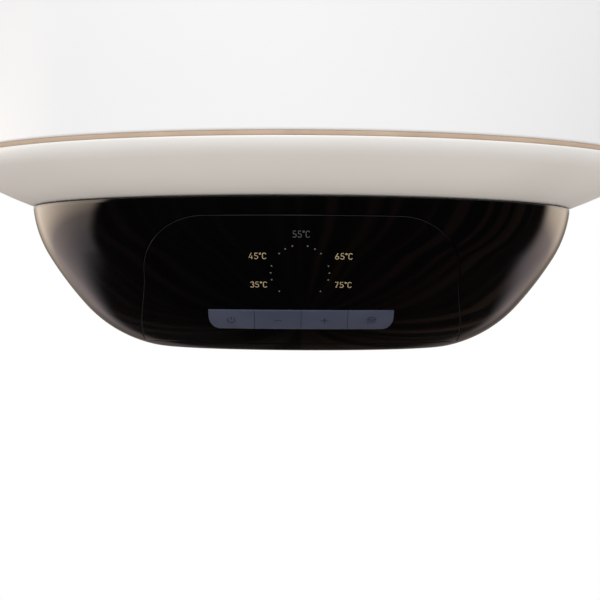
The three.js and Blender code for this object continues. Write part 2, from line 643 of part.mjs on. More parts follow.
function addCover() {
  const far = COVER_RADIUS + 100;
  const front = box([-far, -far, COVER_BOTTOM - 20], [far, COVER_BACK, COVER_TOP]);
  const inside = box(
    [-far, -far, COVER_BOTTOM - 20], [far, COVER_BACK - COVER_WALL, COVER_TOP + 10],
  );
  const shell = cut(coverCore(0).intersect(front), coverCore(COVER_WALL).intersect(inside));
  const ledgeBand = cut(panelPrism(arch(LEDGE_WIDTH)), panelPrism(arch(-LEDGE_WIDTH)));
  const ledge = coverShell(COVER_WALL - 1, COVER_WALL + GAP + LEDGE_DEPTH).intersect(ledgeBand);
  const seat = coverShell(-5, COVER_WALL + GAP).intersect(panelPrism(arch(FASCIA_GAP)));
  const ears = [-1, 1].map((side) => {
    const [x, y] = earScrew(side);
    const tab = joined(
      rod(EAR_RADIUS, COVER_TOP - EAR_THICK, COVER_TOP, { at: [x, y] }),
      box([x - EAR_RADIUS, COVER_BACK - 1, COVER_TOP - EAR_THICK], [x + EAR_RADIUS, y, COVER_TOP]),
    );
    return cut(tab, rod(LID_SCREW_HOLE, COVER_TOP - 5, COVER_TOP + 1, { at: [x, y], sides: 8 }));
  });
  const glandHole = alongY(rod(GLAND_THREAD + 0.4 + GAP, -4, 4))
    .translate([0, COVER_BACK - COVER_WALL / 2, GLAND_Z]);
  const rebated = cut(joined(shell, ledge.intersect(front)), seat);
  add("control_cover", cut(joined(rebated, ...ears), glandHole), blackGloss);

  const window = panelPrism(keyStrip(-KEYS_HALF_WIDTH, KEYS_HALF_WIDTH, 0));
  const lightHoles = dotPlaces.map((at) =>
    inPanel(rod(DOT_RADIUS + GAP, 120, 200, { at, sides: DOT_SIDES })));
  const plate = coverShell(0, COVER_WALL).intersect(panelPrism(arch(0)));
  add("control_fascia", cut(plate, window, ...lightHoles), blackGloss);

  for (const side of [-1, 1]) {
    const at = earScrew(side);
    const screw = joined(
      rod(4, COVER_TOP - 5.6, COVER_TOP - EAR_THICK - GAP, { at, sides: 12 }),
      rod(2, COVER_TOP - 4, COVER_TOP + 9, { at, sides: 8 }),
    );
    const driveSlot = box(
      [at[0] - 3, at[1] - 0.5, COVER_TOP - 6], [at[0] + 3, at[1] + 0.5, COVER_TOP - 4.6],
    );
    add(side < 0 ? "cover_screw_left" : "cover_screw_right", cut(screw, driveSlot), zincSteel);
  }
}

// ---------------------------------------------------------------- keys and display, behind the fascia
// Distance of the display board's front from the heater's axis frame, along the panel.
const BOARD_FACE = 152;
const BOARD_THICK = 1.6;
const MAT_THICK = 1.6;
const GUIDE_THICK = 2;
const GUIDE_HALF = 4; // half the width of the light guide's ring
const GUIDE_SKIN = 0.15; // how far the light guide's dots stay under the cover's face
const KEY_FLANGE_THICK = 1.4;
const STEM_RADIUS = 2.5;
const DOME_RADIUS = 4.5;
const DISPLAY_HALF_WIDTH = 60;
const DISPLAY_SOCKET = 7; // depth of the socket behind the display board

const keyEdges = span(-KEYS_HALF_WIDTH, KEYS_HALF_WIDTH, KEY_COUNT);
const keyCentres = keyEdges.slice(0, -1).map((x) => x + KEYS_HALF_WIDTH / KEY_COUNT);

function addKeys() {
  const flangeFrom = COVER_WALL + GAP;
  ["power", "minus", "plus", "boost"].forEach((word, i) => {
    const [x0, x1] = [keyEdges[i] + KEY_GAP, keyEdges[i + 1] - KEY_GAP];
    const flangeTo = flangeFrom + KEY_FLANGE_THICK;
    const cap = coverShell(-KEY_PROUD, flangeTo).intersect(panelPrism(keyStrip(x0, x1, -KEY_GAP)));
    const flange = coverShell(flangeFrom, flangeTo).intersect(
      cut(panelPrism(keyStrip(x0, x1, KEY_FLANGE)), panelPrism(keyStrip(x0, x1, -KEY_FLANGE))));
    const middle = onFace(keyCentres[i], (KEYS_TOP + KEYS_BOTTOM) / 2);
    const stemFoot = BOARD_FACE + MAT_THICK + 2 + GAP + KEY_TRAVEL;
    const at = [keyCentres[i], middle.y];
    const stem = inPanel(rod(STEM_RADIUS, stemFoot, middle.z - 3, { at, sides: 12 }));
    add(`key_${word}`, joined(cap, flange, stem), keyPlastic);
  });
}

function addDisplay() {
  const keyY = onFace(0, (KEYS_TOP + KEYS_BOTTOM) / 2).y;
  const boardLow = keyY - 11;
  const boardHigh = DOT_CENTRE.y + DOT_RING + 8;
  const back = BOARD_FACE - BOARD_THICK;
  const board = box(
    [-DISPLAY_HALF_WIDTH, boardLow, back], [DISPLAY_HALF_WIDTH, boardHigh, BOARD_FACE],
  );
  const chip = box([-48, DOT_CENTRE.y - 6, back - 1.5], [-34, DOT_CENTRE.y + 8, back + 0.5]);
  const socket = box(
    [-10, DOT_CENTRE.y - 14, back - DISPLAY_SOCKET], [10, DOT_CENTRE.y - 6, back + 0.5],
  );
  add("display_board", inPanel(joined(board, chip, socket)), circuitBoard);

  const rowY = keyCentres.map((x) => onFace(x, (KEYS_TOP + KEYS_BOTTOM) / 2).y);
  const matHalf = DISPLAY_HALF_WIDTH - 2;
  const matFace = BOARD_FACE + GAP + MAT_THICK;
  const mat = box(
    [-matHalf, boardLow + 1, BOARD_FACE + GAP], [matHalf, Math.max(...rowY) + 6, matFace],
  );
  const domes = keyCentres.map((x, i) =>
    rod(DOME_RADIUS, BOARD_FACE + GAP + 1, matFace + 1.7, { at: [x, rowY[i]], sides: 12 }));
  add("key_mat", inPanel(joined(mat, ...domes)), greySilicone);

  const guideLow = BOARD_FACE + GAP;
  const plate = rod(DOT_RING + GUIDE_HALF, guideLow, guideLow + GUIDE_THICK, {
    bore: DOT_RING - GUIDE_HALF, at: [0, DOT_CENTRE.y], sides: 16,
  });
  const pins = dotPlaces.map((at) => rod(DOT_RADIUS, guideLow + 1, 200, { at, sides: DOT_SIDES }));
  add("light_guide", inPanel(joined(plate, ...pins)).intersect(coverCore(GUIDE_SKIN)), clearPlastic);
}

// ---------------------------------------------------------------- power electronics inside the cover
const GLAND_Z = -88;
const TRAY_Z = COVER_BOTTOM + COVER_WALL + 8;
const BOARD_Z = TRAY_Z + 8;
const LEAD_Z = TRAY_Z + 10;
const LEAD_RADIUS = 1.6;
const FOOT_RADIUS = 4;
const POST_RADIUS = 3;
const WAYS = [-15, 0, 15]; // the three ways of the terminal block
const CUTOUT_DEPTH = 26; // how far the thermal cut-out hangs below the flange
const RESET_AT = [-36, 18];
const RESET_RADIUS = 3;
const RESET_WELL = 8; // depth of the hole the reset button slides in
const PLUG_AT = [0, 8]; // of the connector on the power board
const PLUG_HEIGHT = 9.2;
const alongY = (solid) => solid.rotate([-90, 0, 0]); // a solid made along Z, laid along +Y

function addElectronics() {
  const tray = box([-68, -62, TRAY_Z], [68, 52, TRAY_Z + 2.5]);
  const corners = [[-60, -54], [60, -54], [-60, 10], [60, 10]];
  const feet = corners.map((at) =>
    rod(FOOT_RADIUS, COVER_BOTTOM + COVER_WALL + GAP, TRAY_Z + 1, { at, sides: 12 }));
  const posts = corners.map((at) => rod(POST_RADIUS, TRAY_Z + 2, BOARD_Z - GAP, { at, sides: 12 }));
  add("electronics_tray", joined(tray, ...feet, ...posts), blackPlastic);

  const board = box([-65, -59, BOARD_Z], [65, 15, BOARD_Z + 1.6]);
  const top = BOARD_Z + 1.2;
  const relay = box([-52, -46, top], [-23, -33, top + 16]);
  const transformer = box([-10, -48, top], [22, -22, top + 20]);
  const capacitor = rod(7, top, top + 22, { at: [42, -36] });
  const fuse = box([-52, -14, top], [-30, -8, top + 8]);
  const connector = box([-8, 4, top], [12, 12, top + 8]);
  add("power_board", joined(board, relay, transformer, capacitor, fuse, connector), circuitBoard);

  const block = box([-24, 26, TRAY_Z + 2.5 + GAP], [24, 46, TRAY_Z + 20]);
  const ways = WAYS.map((x) =>
    alongY(rod(LEAD_RADIUS + GAP + 0.1, 22, 50, { sides: 12 })).translate([x, 0, LEAD_Z]));
  const screws = WAYS.map((x) => rod(3, LEAD_Z + 4, LEAD_Z + 12, { at: [x, 36], sides: 12 }));
  add("terminal_block", cut(block, ...ways, ...screws), creamPlastic);

  const cutoutLow = PLATE_BOTTOM - CUTOUT_DEPTH;
  const body = box([-42, -6, cutoutLow], [-4, 26, PLATE_BOTTOM - 3]);
  const stem = rod(3.4, PLATE_BOTTOM - 4, 190, { at: POCKET_AT, sides: 12 });
  const at = RESET_AT;
  const wellTop = cutoutLow + RESET_WELL;
  const resetHole = rod(RESET_RADIUS + GAP, cutoutLow - 1, wellTop, { at, sides: 12 });
  add("thermal_cutout", joined(cut(body, resetHole), stem), creamPlastic);
  const button = rod(RESET_RADIUS, cutoutLow - 3, wellTop - GAP - 2, { at, sides: 12 });
  add("cutout_reset_button", button, redPlastic);

  const gland = joined(
    alongY(hexagon(14, GAP, 6)), alongY(rod(GLAND_THREAD, -6, 2)),
    alongY(rod(11, 5, 20, { sides: 12 })),
  );
  const bore = alongY(rod(4.5, -10, 25, { sides: 12 }));
  add("cable_gland", cut(gland, bore).translate([0, COVER_BACK, GLAND_Z]), blackPlastic);
  const nut = cut(alongY(hexagon(13, -4.5 - GAP, -GAP)), alongY(rod(GLAND_THREAD + GAP, -10, 2)));
  add("gland_nut", nut.translate([0, COVER_BACK - COVER_WALL, GLAND_Z]), blackPlastic);
}

function addLeads() {
  const cutoutLow = PLATE_BOTTOM - CUTOUT_DEPTH;
  const [live, neutral, earth] = WAYS;
  const outOfBlock = (x) => [32, 28, 24, 20].map((y) => [x, y, LEAD_Z]);
  const lead = (points) => swept(points, circle(LEAD_RADIUS), 16);
  const intoCutout = (x, y) => [[x, y, cutoutLow - 10], [x, y, cutoutLow - GAP]];
  add("live_lead", lead([...outOfBlock(live), [-21, 14, LEAD_Z + 16], ...intoCutout(-26, 10)]), brownWire);
  add("neutral_lead", lead([
    ...outOfBlock(neutral), [-8, 10, LEAD_Z + 18], ...intoCutout(-14, 2),
  ]), blueWire);
  const [earthX, earthY] = EARTH_AT;
  const stud = PLATE_BOTTOM - EARTH_STUD[1];
  add("earth_lead", lead([
    ...outOfBlock(earth), [28, 6, LEAD_Z + 14], [earthX, earthY, stud - 14], [earthX, earthY, stud - GAP],
  ]), earthWire);

  const socketFace = BOARD_FACE - BOARD_THICK - DISPLAY_SOCKET - GAP;
  const [start, out] = [0, 8].map((back) =>
    new THREE.Vector3(0, DOT_CENTRE.y - 10, socketFace - back).applyMatrix4(panelMatrix));
  const plug = BOARD_Z + PLUG_HEIGHT + GAP;
  add("display_cable", swept([
    [0, start.y, start.z], [0, out.y, out.z], [0, -52, -72], [0, -12, -74],
    [...PLUG_AT, plug + 10], [...PLUG_AT, plug + 5], [...PLUG_AT, plug],
  ], [[-0.6, -5], [0.6, -5], [0.6, 5], [-0.6, 5]], 16), greyWire);
}

// ---------------------------------------------------------------- safety valve on the cold inlet
const VALVE_Z = -78; // height of the side branch
const SPINDLE_TIP = 60;
const LEVER_PIVOT = 56.5;
const SPINDLE_RADIUS = 2.3;
const PIN_RADIUS = 1.2;
const PIN_HALF = 6.2;
const BRANCH_RADIUS = 12;
const BONNET_REACH = [32, 50]; // from the pipe's axis, where the bonnet's cap starts and ends
const BONNET_SCREW = 8.6; // radius of its part inside the branch
const DRAIN_AT = [22, 0];
const CHEEK = [3, 5.5]; // inside and outside of the lever's cheeks, across the spindle
const CHEEK_HALF = 4.5; // half the length of a cheek along the spindle

function addValve() {
  const at = [PIPE_X, PIPE_BACK, VALVE_Z];
  const place = (solid) => solid.translate(at);
  const socketTop = PIPE_END + 14 - VALVE_Z;
  const socketFloor = PIPE_END - GAP - VALVE_Z;
  const threadEnd = -30;
  const body = joined(
    rod(13.5, -12, socketTop, { sides: 16 }), hexagon(16, socketTop - 9, socketTop),
    rod(PIPE_RADIUS, threadEnd, -10), alongX(rod(BRANCH_RADIUS, 0, BONNET_REACH[0])),
    rod(5.5, -28, -6, { at: DRAIN_AT, sides: 12 }),
  );
  const bores = [
    rod(PIPE_RADIUS + GAP, socketFloor, socketTop + 1), rod(7, threadEnd - 1, socketFloor + 1),
    alongX(rod(4, 0, 20, { sides: 12 })), alongX(rod(9, 14, 33)),
    rod(3.5, -29, -2, { at: DRAIN_AT, sides: 12 }),
  ];
  add("valve_body", place(cut(body, ...bores)), nickel);

  const [bonnetLow, bonnetHigh] = BONNET_REACH;
  const bonnet = joined(
    alongX(rod(BRANCH_RADIUS, bonnetLow + GAP, bonnetHigh, { sides: 16 })),
    alongX(rod(BONNET_SCREW, bonnetLow - 5, bonnetLow + 2)),
  );
  const springRoom = alongX(rod(6.5, bonnetLow - 6, bonnetHigh - 3));
  const spindleHole = alongX(rod(SPINDLE_RADIUS + GAP, bonnetLow + 8, bonnetHigh + 2, { sides: 12 }));
  add("valve_bonnet", place(cut(bonnet, springRoom, spindleHole)), blackPlastic);

  const disc = alongX(rod(5.8, 14 + GAP, 17.5));
  const spindle = joined(disc, alongX(rod(SPINDLE_RADIUS, 16, SPINDLE_TIP, { sides: 12 })));
  const pin = (radius, half) =>
    alongY(rod(radius, -half, half, { sides: 8 })).translate([LEVER_PIVOT, 0, 0]);
  const pinHole = pin(PIN_RADIUS + GAP, 10);
  add("relief_spindle", place(cut(spindle, pinHole)), brass);

  const [near, far] = CHEEK;
  const [start, end] = [LEVER_PIVOT - CHEEK_HALF, LEVER_PIVOT + CHEEK_HALF];
  const cheeks = [[near, far], [-far, -near]].map(([y0, y1]) =>
    box([start, y0, -7], [end, y1, 6]));
  const handle = joined(
    box([start, -far, -10], [end, far, -6]),
    box([LEVER_PIVOT - 2, -far, -30], [LEVER_PIVOT + 2, far, -9]),
  );
  add("relief_lever", place(cut(joined(...cheeks, handle), pinHole)), redPlastic);
  add("lever_pin", place(pin(PIN_RADIUS, PIN_HALF)), stainless);
}

addBracket();
addCasing();
addTank();
addFoam();
addFlange();
addPipes();
addCover();
addKeys();
addDisplay();
addElectronics();
addLeads();
addValve();

const part = new THREE.Group();
part.add(heater);
export default part;
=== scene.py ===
"""A wall-hung electric storage water heater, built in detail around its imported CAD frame.

Shapes are worked out in the heater's own millimetres: the tank's axis is x = y = 0, z = 0 is the lower
edge of the jacket, and the front looks along -Y. TO_FRAME turns them into the frame's metres.
"""

import json
from math import asin, atan2, copysign, cos, hypot, pi, radians, sin, sqrt, tan

import bmesh
import bpy
from mathutils import Matrix, Vector
from mathutils.geometry import delaunay_2d_cdt


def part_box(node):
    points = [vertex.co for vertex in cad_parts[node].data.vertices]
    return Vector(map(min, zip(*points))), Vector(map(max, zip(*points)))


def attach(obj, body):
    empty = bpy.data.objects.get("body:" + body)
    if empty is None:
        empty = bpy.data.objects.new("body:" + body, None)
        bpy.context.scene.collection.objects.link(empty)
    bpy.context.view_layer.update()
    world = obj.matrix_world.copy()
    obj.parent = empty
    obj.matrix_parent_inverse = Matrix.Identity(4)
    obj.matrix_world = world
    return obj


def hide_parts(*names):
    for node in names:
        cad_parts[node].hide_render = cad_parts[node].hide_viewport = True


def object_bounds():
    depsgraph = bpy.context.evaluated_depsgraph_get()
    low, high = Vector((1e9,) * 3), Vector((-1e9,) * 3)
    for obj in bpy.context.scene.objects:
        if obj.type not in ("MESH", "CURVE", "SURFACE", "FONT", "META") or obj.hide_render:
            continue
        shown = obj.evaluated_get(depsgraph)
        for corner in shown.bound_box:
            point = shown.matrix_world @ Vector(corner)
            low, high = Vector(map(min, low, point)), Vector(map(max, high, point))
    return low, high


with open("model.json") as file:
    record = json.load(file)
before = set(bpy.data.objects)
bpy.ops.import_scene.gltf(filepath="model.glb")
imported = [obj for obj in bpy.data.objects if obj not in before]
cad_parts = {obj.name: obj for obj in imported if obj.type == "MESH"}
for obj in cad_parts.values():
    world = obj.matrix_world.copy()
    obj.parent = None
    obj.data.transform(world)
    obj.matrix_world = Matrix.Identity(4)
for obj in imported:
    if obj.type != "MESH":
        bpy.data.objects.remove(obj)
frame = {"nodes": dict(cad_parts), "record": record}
CAD_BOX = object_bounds()

# ---- sizes, in millimetres
jacket_low, jacket_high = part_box("outer_jacket")
AXIS_Y = (jacket_low.y + jacket_high.y) / 2
BASE_Z = jacket_low.z
TO_FRAME = Matrix.Translation((0, AXIS_Y, BASE_Z)) @ Matrix.Scale(0.001, 4)
FROM_FRAME = TO_FRAME.inverted()


def span_of(node):
    """A CAD node's lowest and highest corners in the heater's millimetres."""
    low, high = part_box(node)
    return FROM_FRAME @ low, FROM_FRAME @ high


JACKET_RADIUS = (jacket_high.x - jacket_low.x) * 500
JACKET_HEIGHT = (jacket_high.z - jacket_low.z) * 1000
JACKET_LIP = 9
SEAL_RECESS = 0.5
SEAL_SQUEEZE = 0.27  # the foam fills its gap to the sheet and to the lid
LID_RIM_Z = -2.6
LID_RIM_RADIUS = JACKET_RADIUS - 0.4
LID_FLAT_Z = span_of("bottom_lid")[0].z
LID_BENDS = [(12, 10, 61), (286, 61, 70)]  # radius, then the first and last degrees off the vertical
TOP_LID_BENDS = [(14, 10, 74), (779, 74, 90)]
LID_WALL = 2.5
LID_SIDE_Z = LID_RIM_Z - 1.3  # where a lid's side starts to bend inwards
COLLAR_TOP = 13

COVER_RADIUS = span_of("control_cover")[1].x
COVER_TOP = span_of("control_cover")[1].z
COVER_WALL = 2.5
COVER_BACK = 78
COVER_BENDS = [(75, 6, 32), (225, 32, 42), (85, 42, 76), (40, 76, 90)]
EAR_X = 128
EAR_Y = COVER_BACK + 10
GLAND_Z = -88

FASCIA_HALF_WIDTH = 93
FASCIA_TOP = 10.6  # drops are below the cover's rim
FASCIA_BOTTOM = 85
FASCIA_FLARE = 6.5  # how much wider each side is at the bottom
FASCIA_CORNER = 37  # across, and down
FASCIA_SHOULDER = 32
FASCIA_GAP = 0.3
KEYS_HALF_WIDTH = 54.8
KEYS_TOP = 64.4
KEYS_BOTTOM = 76.0
KEYS_CORNER = 6.8
KEY_GAP = 0.09
KEY_PROUD = 0.4
KEY_BEVEL = 2.2  # how much wider a key's top edge is rounded than its other edges
KEY_JOINT = 0.45  # how much less the edges between keys are
PANEL_TILT = radians(36)
DOT_RING = 16.8
DOT_RING_X = -0.8
DOT_RING_ALONG = 18.6  # the ring's radius along the slope
DOT_RING_DROP = 43.1
DOT_RADIUS = 0.52
DOT_ANGLES = [-45, -15, 0, 15, 45, 60, 75, 105, 120, 135, 165, 180, 195, 225]

PIPE_X = 50
PIPE_BACK = 125
PIPE_RADIUS = 10.5
PIPE_BORE = 7.5
BRACKET_ANGLE = radians(33)  # between the middle and each stud, about the tank's axis

EYE_BELOW_JACKET = 81.9  # height of the camera below the jacket's lower edge
EYE_DISTANCE = 1042  # from the axis of the tank
HOUSING = "heater"

# ---- camera, stage and light
scene = bpy.context.scene
scene.view_settings.view_transform = "Standard"
scene.view_settings.look = "None"


def placed(name, data):
    """A new object in the scene."""
    thing = bpy.data.objects.new(name, data)
    scene.collection.objects.link(thing)
    return thing


def add_camera():
    data = bpy.data.cameras.new("camera")
    data.sensor_width = 36
    data.lens = 92.8
    camera = placed("camera", data)
    camera.location = TO_FRAME @ Vector((-0.7, -EYE_DISTANCE, -EYE_BELOW_JACKET))
    roll = Matrix.Rotation(radians(0.3), 4, "Z")
    camera.rotation_euler = (Matrix.Rotation(radians(90 - 0.556), 4, "X") @ roll).to_euler()
    scene.camera = camera


def add_area(name, size, energy, color, at, towards, mirrored=True):
    light = bpy.data.lights.new(name, "AREA")
    light.shape = "RECTANGLE"
    light.size, light.size_y = size
    light.energy = energy
    light.color = color
    lamp = placed(name, light)
    lamp.location = at
    lamp.visible_glossy = mirrored
    lamp.rotation_euler = (Vector(towards) - Vector(at)).to_track_quat("-Z", "Y").to_euler()


class Graph:
    """A node tree, with short names for the nodes that light and materials are worked out with."""

    def __init__(self, tree):
        self.nodes, self.links = tree.nodes, tree.links

    def feed(self, socket, value):
        if isinstance(value, bpy.types.NodeSocket):
            self.links.new(value, socket)
        else:
            socket.default_value = value

    def add(self, kind, inputs, output=0, **settings):
        """An output of a new node, whose inputs are fed with values or with other nodes' outputs."""
        node = self.nodes.new(f"ShaderNode{kind}")
        for name, value in settings.items():
            setattr(node, name, value)
        for name, value in inputs.items():
            self.feed(node.inputs[name], value)
        return node.outputs[output]

    def do(self, operation, a, b=0.0):
        return self.add("Math", {0: a, 1: b}, operation=operation)

    def step(self, value, low, high):
        ends = {"Value": value, "From Min": low, "From Max": high}
        return self.add("MapRange", ends, "Result", interpolation_type="SMOOTHSTEP")

    def remap(self, value, low, high, start=0.35, end=0.65):
        """Goes from low to high as the value goes from start to end."""
        ends = {"Value": value, "From Min": start, "From Max": end, "To Min": low, "To Max": high}
        return self.add("MapRange", ends, "Result")

    def mix(self, factor, a, b):
        return self.add("Mix", {"Factor": factor, "A": a, "B": b}, "Result", data_type="RGBA")

    def scale(self, color, factor):
        return self.add("VectorMath", {0: color, "Scale": factor}, operation="SCALE")

    def plus(self, a, b):
        return self.add("VectorMath", {0: a, 1: b}, operation="ADD")

    def noise(self, scale, detail=3.0, stretch=(1, 1, 1)):
        """A noise texture whose grain is 1/scale metres, drawn out along an axis by a stretch below 1."""
        where = self.add("Mapping", {"Vector": self.add("TexCoord", {}, "Object"), "Scale": stretch})
        return self.add("TexNoise", {"Vector": where, "Scale": scale, "Detail": detail}, "Fac")


def room_in_gloss(m, x, y, z):
    """What polish mirrors: dim in front and below, pale walls to the sides and behind, light above."""
    ramp = m.nodes.new("ShaderNodeValToRGB")
    m.feed(ramp.inputs[0], m.do("ADD", z, 0.6))
    stops = [(0.0, (0.05, 0.045, 0.05)), (0.12, (0.11, 0.10, 0.11)), (0.28, (0.24, 0.20, 0.20)),
             (0.4, (0.34, 0.28, 0.26)), (0.50, (0.76, 0.62, 0.50)), (0.58, (0.90, 0.76, 0.61))]
    while len(ramp.color_ramp.elements) < len(stops):
        ramp.color_ramp.elements.new(0.5)
    for element, (at, color) in zip(ramp.color_ramp.elements, stops):
        element.position = at
        element.color = (*color, 1)
    right = m.step(x, -0.05, 0.05)
    left_edge = m.step(m.do("ADD", y, m.do("MULTIPLY", z, 0.8)), -0.10, 0.04)
    right_edge = m.step(y, 0.51, 0.64)
    low_edge = m.step(m.do("SUBTRACT", z, m.do("MULTIPLY", y, 0.35)), -0.72, -0.60)
    mask = m.mix(right, left_edge, right_edge)
    behind = m.do("MULTIPLY", m.step(y, 0.55, 0.98), 1.2)
    grazing = m.do("MULTIPLY", m.step(y, 0.84, 0.97), 1.7)
    fading = m.do("SUBTRACT", 3.2, m.do("ADD", m.do("MULTIPLY", right, 0.4), m.do("ADD", behind, grazing)))
    strength = m.do("MULTIPLY", low_edge, m.do("MAXIMUM", fading, 0.3))
    walls = m.scale(m.scale(ramp.outputs[0], strength), mask)

    around = m.do("ARCTAN2", x, m.do("MULTIPLY", y, -1.0))
    band = {"Scale": 7, "Detail": 1.0, "W": m.do("ADD", around, 3.7)}
    streak = m.step(m.add("TexNoise", band, "Fac", noise_dimensions="1D"), 0.48, 0.66)
    streaks = m.scale(m.mix(right, (0.022, 0.018, 0.016, 1), (0.058, 0.034, 0.024, 1)), streak)
    below = m.plus(m.plus(walls, streaks), (0.012, 0.01, 0.009))
    return m.mix(m.step(z, 0.0, 0.09), below, (0.9, 0.9, 0.9, 1))


def room_in_shade(m, x, y, z):
    """What matt surfaces gather: cool light from the sides, warm and weaker light off the ground."""
    low = m.mix(m.step(y, -0.12, 0.28), (0.12, 0.06, 0.015, 1), (1.62, 1.55, 1.48, 1))
    sides = m.step(m.do("ABSOLUTE", x), 0.45, 0.85)
    low = m.mix(sides, low, (1.30, 1.24, 1.17, 1))
    high = m.mix(m.step(y, -0.7, 0.1), (1.19, 1.21, 1.24, 1), (0.86, 0.88, 0.91, 1))
    high = m.mix(m.step(m.do("ABSOLUTE", x), 0.6, 1.0), high, (0.80, 0.82, 0.85, 1))
    return m.mix(m.step(z, -0.55, 0.05), low, high)


def add_world():
    """White to the eye, with one room for polish to mirror and another for matt surfaces."""
    world = bpy.data.worlds.new("studio")
    world.use_nodes = True
    scene.world = world
    world.node_tree.nodes.clear()
    m = Graph(world.node_tree)
    path = m.nodes.new("ShaderNodeLightPath")
    axes = m.nodes.new("ShaderNodeSeparateXYZ")
    m.feed(axes.inputs[0], m.add("TexCoord", {}, "Generated"))
    x, y, z = axes.outputs
    lit = m.mix(path.outputs["Is Glossy Ray"], room_in_shade(m, x, y, z), room_in_gloss(m, x, y, z))
    seen = m.mix(path.outputs["Is Camera Ray"], lit, (1, 1, 1, 1))
    out = m.nodes.new("ShaderNodeOutputWorld")
    m.feed(out.inputs["Surface"], m.add("Background", {"Color": seen}))


def add_floor():
    drop = 2.4
    mesh = bpy.data.meshes.new("floor")
    bm = bmesh.new()
    bmesh.ops.create_circle(bm, cap_ends=True, segments=96, radius=2.4)
    bm.to_mesh(mesh)
    bm.free()
    floor = placed("floor", mesh)
    floor.location = (0, AXIS_Y, CAD_BOX[0].z - drop)
    floor.visible_glossy = False
    floor.visible_diffuse = False
    mesh.materials.append(new_material("floor_paint", (0.86, 0.82, 0.76), 0.8)[0])


# ---- materials
def new_material(name, color, roughness, metallic=0.0, specular=0.5):
    """A new material, the graph of its nodes and its shader's inputs."""
    material = bpy.data.materials.new(name)
    material.use_nodes = True
    m = Graph(material.node_tree)
    shader = m.nodes["Principled BSDF"].inputs
    shader["Base Color"].default_value = (*color, 1)
    shader["Roughness"].default_value = roughness
    shader["Metallic"].default_value = metallic
    shader["Specular IOR Level"].default_value = specular
    return material, m, shader


def tint(m, shader, source, color_a, color_b):
    m.feed(shader["Base Color"], m.mix(source, (*color_a, 1), (*color_b, 1)))


def emboss(m, shader, height, strength, distance):
    m.feed(shader["Normal"], m.add("Bump", {"Strength": strength, "Distance": distance, "Height": height}))


def surface(name, color, roughness, metallic=0.0, specular=0.5, grain=900, bump=0.15, depth=0.00008,
            spread=0.06, shade=0.9, patch=18, stretch=(1, 1, 1)):
    """A material whose colour and roughness drift over patches and whose grain is raised a little."""
    material, m, shader = new_material(name, color, roughness, metallic, specular)
    patches = m.noise(patch, 4.0)
    tint(m, shader, m.remap(patches, 0, 1), [c * shade for c in color], color)
    m.feed(shader["Roughness"], m.remap(patches, roughness - spread, roughness + spread))
    emboss(m, shader, m.noise(grain, stretch=stretch), bump, depth)
    return material


def black_lacquer(name):
    """High-gloss black plastic with faint smears and a few specks of dust."""
    black = (0.0009, 0.0008, 0.0008)
    material, m, shader = new_material(name, black, 0.06, specular=0.45)
    m.feed(shader["Roughness"], m.remap(m.noise(26, 5.0, (1, 1, 0.35)), 0.045, 0.12))
    cells = m.nodes.new("ShaderNodeTexVoronoi")
    cells.inputs["Scale"].default_value = 45
    m.feed(cells.inputs["Vector"], m.add("TexCoord", {}, "Object"))
    specks = m.remap(cells.outputs["Distance"], 1, 0, 0.012, 0.03)
    some = m.remap(m.add("SeparateColor", {0: cells.outputs["Color"]}), 0, 1, 0.9, 0.92)
    tint(m, shader, m.do("MULTIPLY", specks, some), black, (0.05, 0.05, 0.048))
    emboss(m, shader, m.noise(160, 1.0), 0.03, 0.00002)
    return material


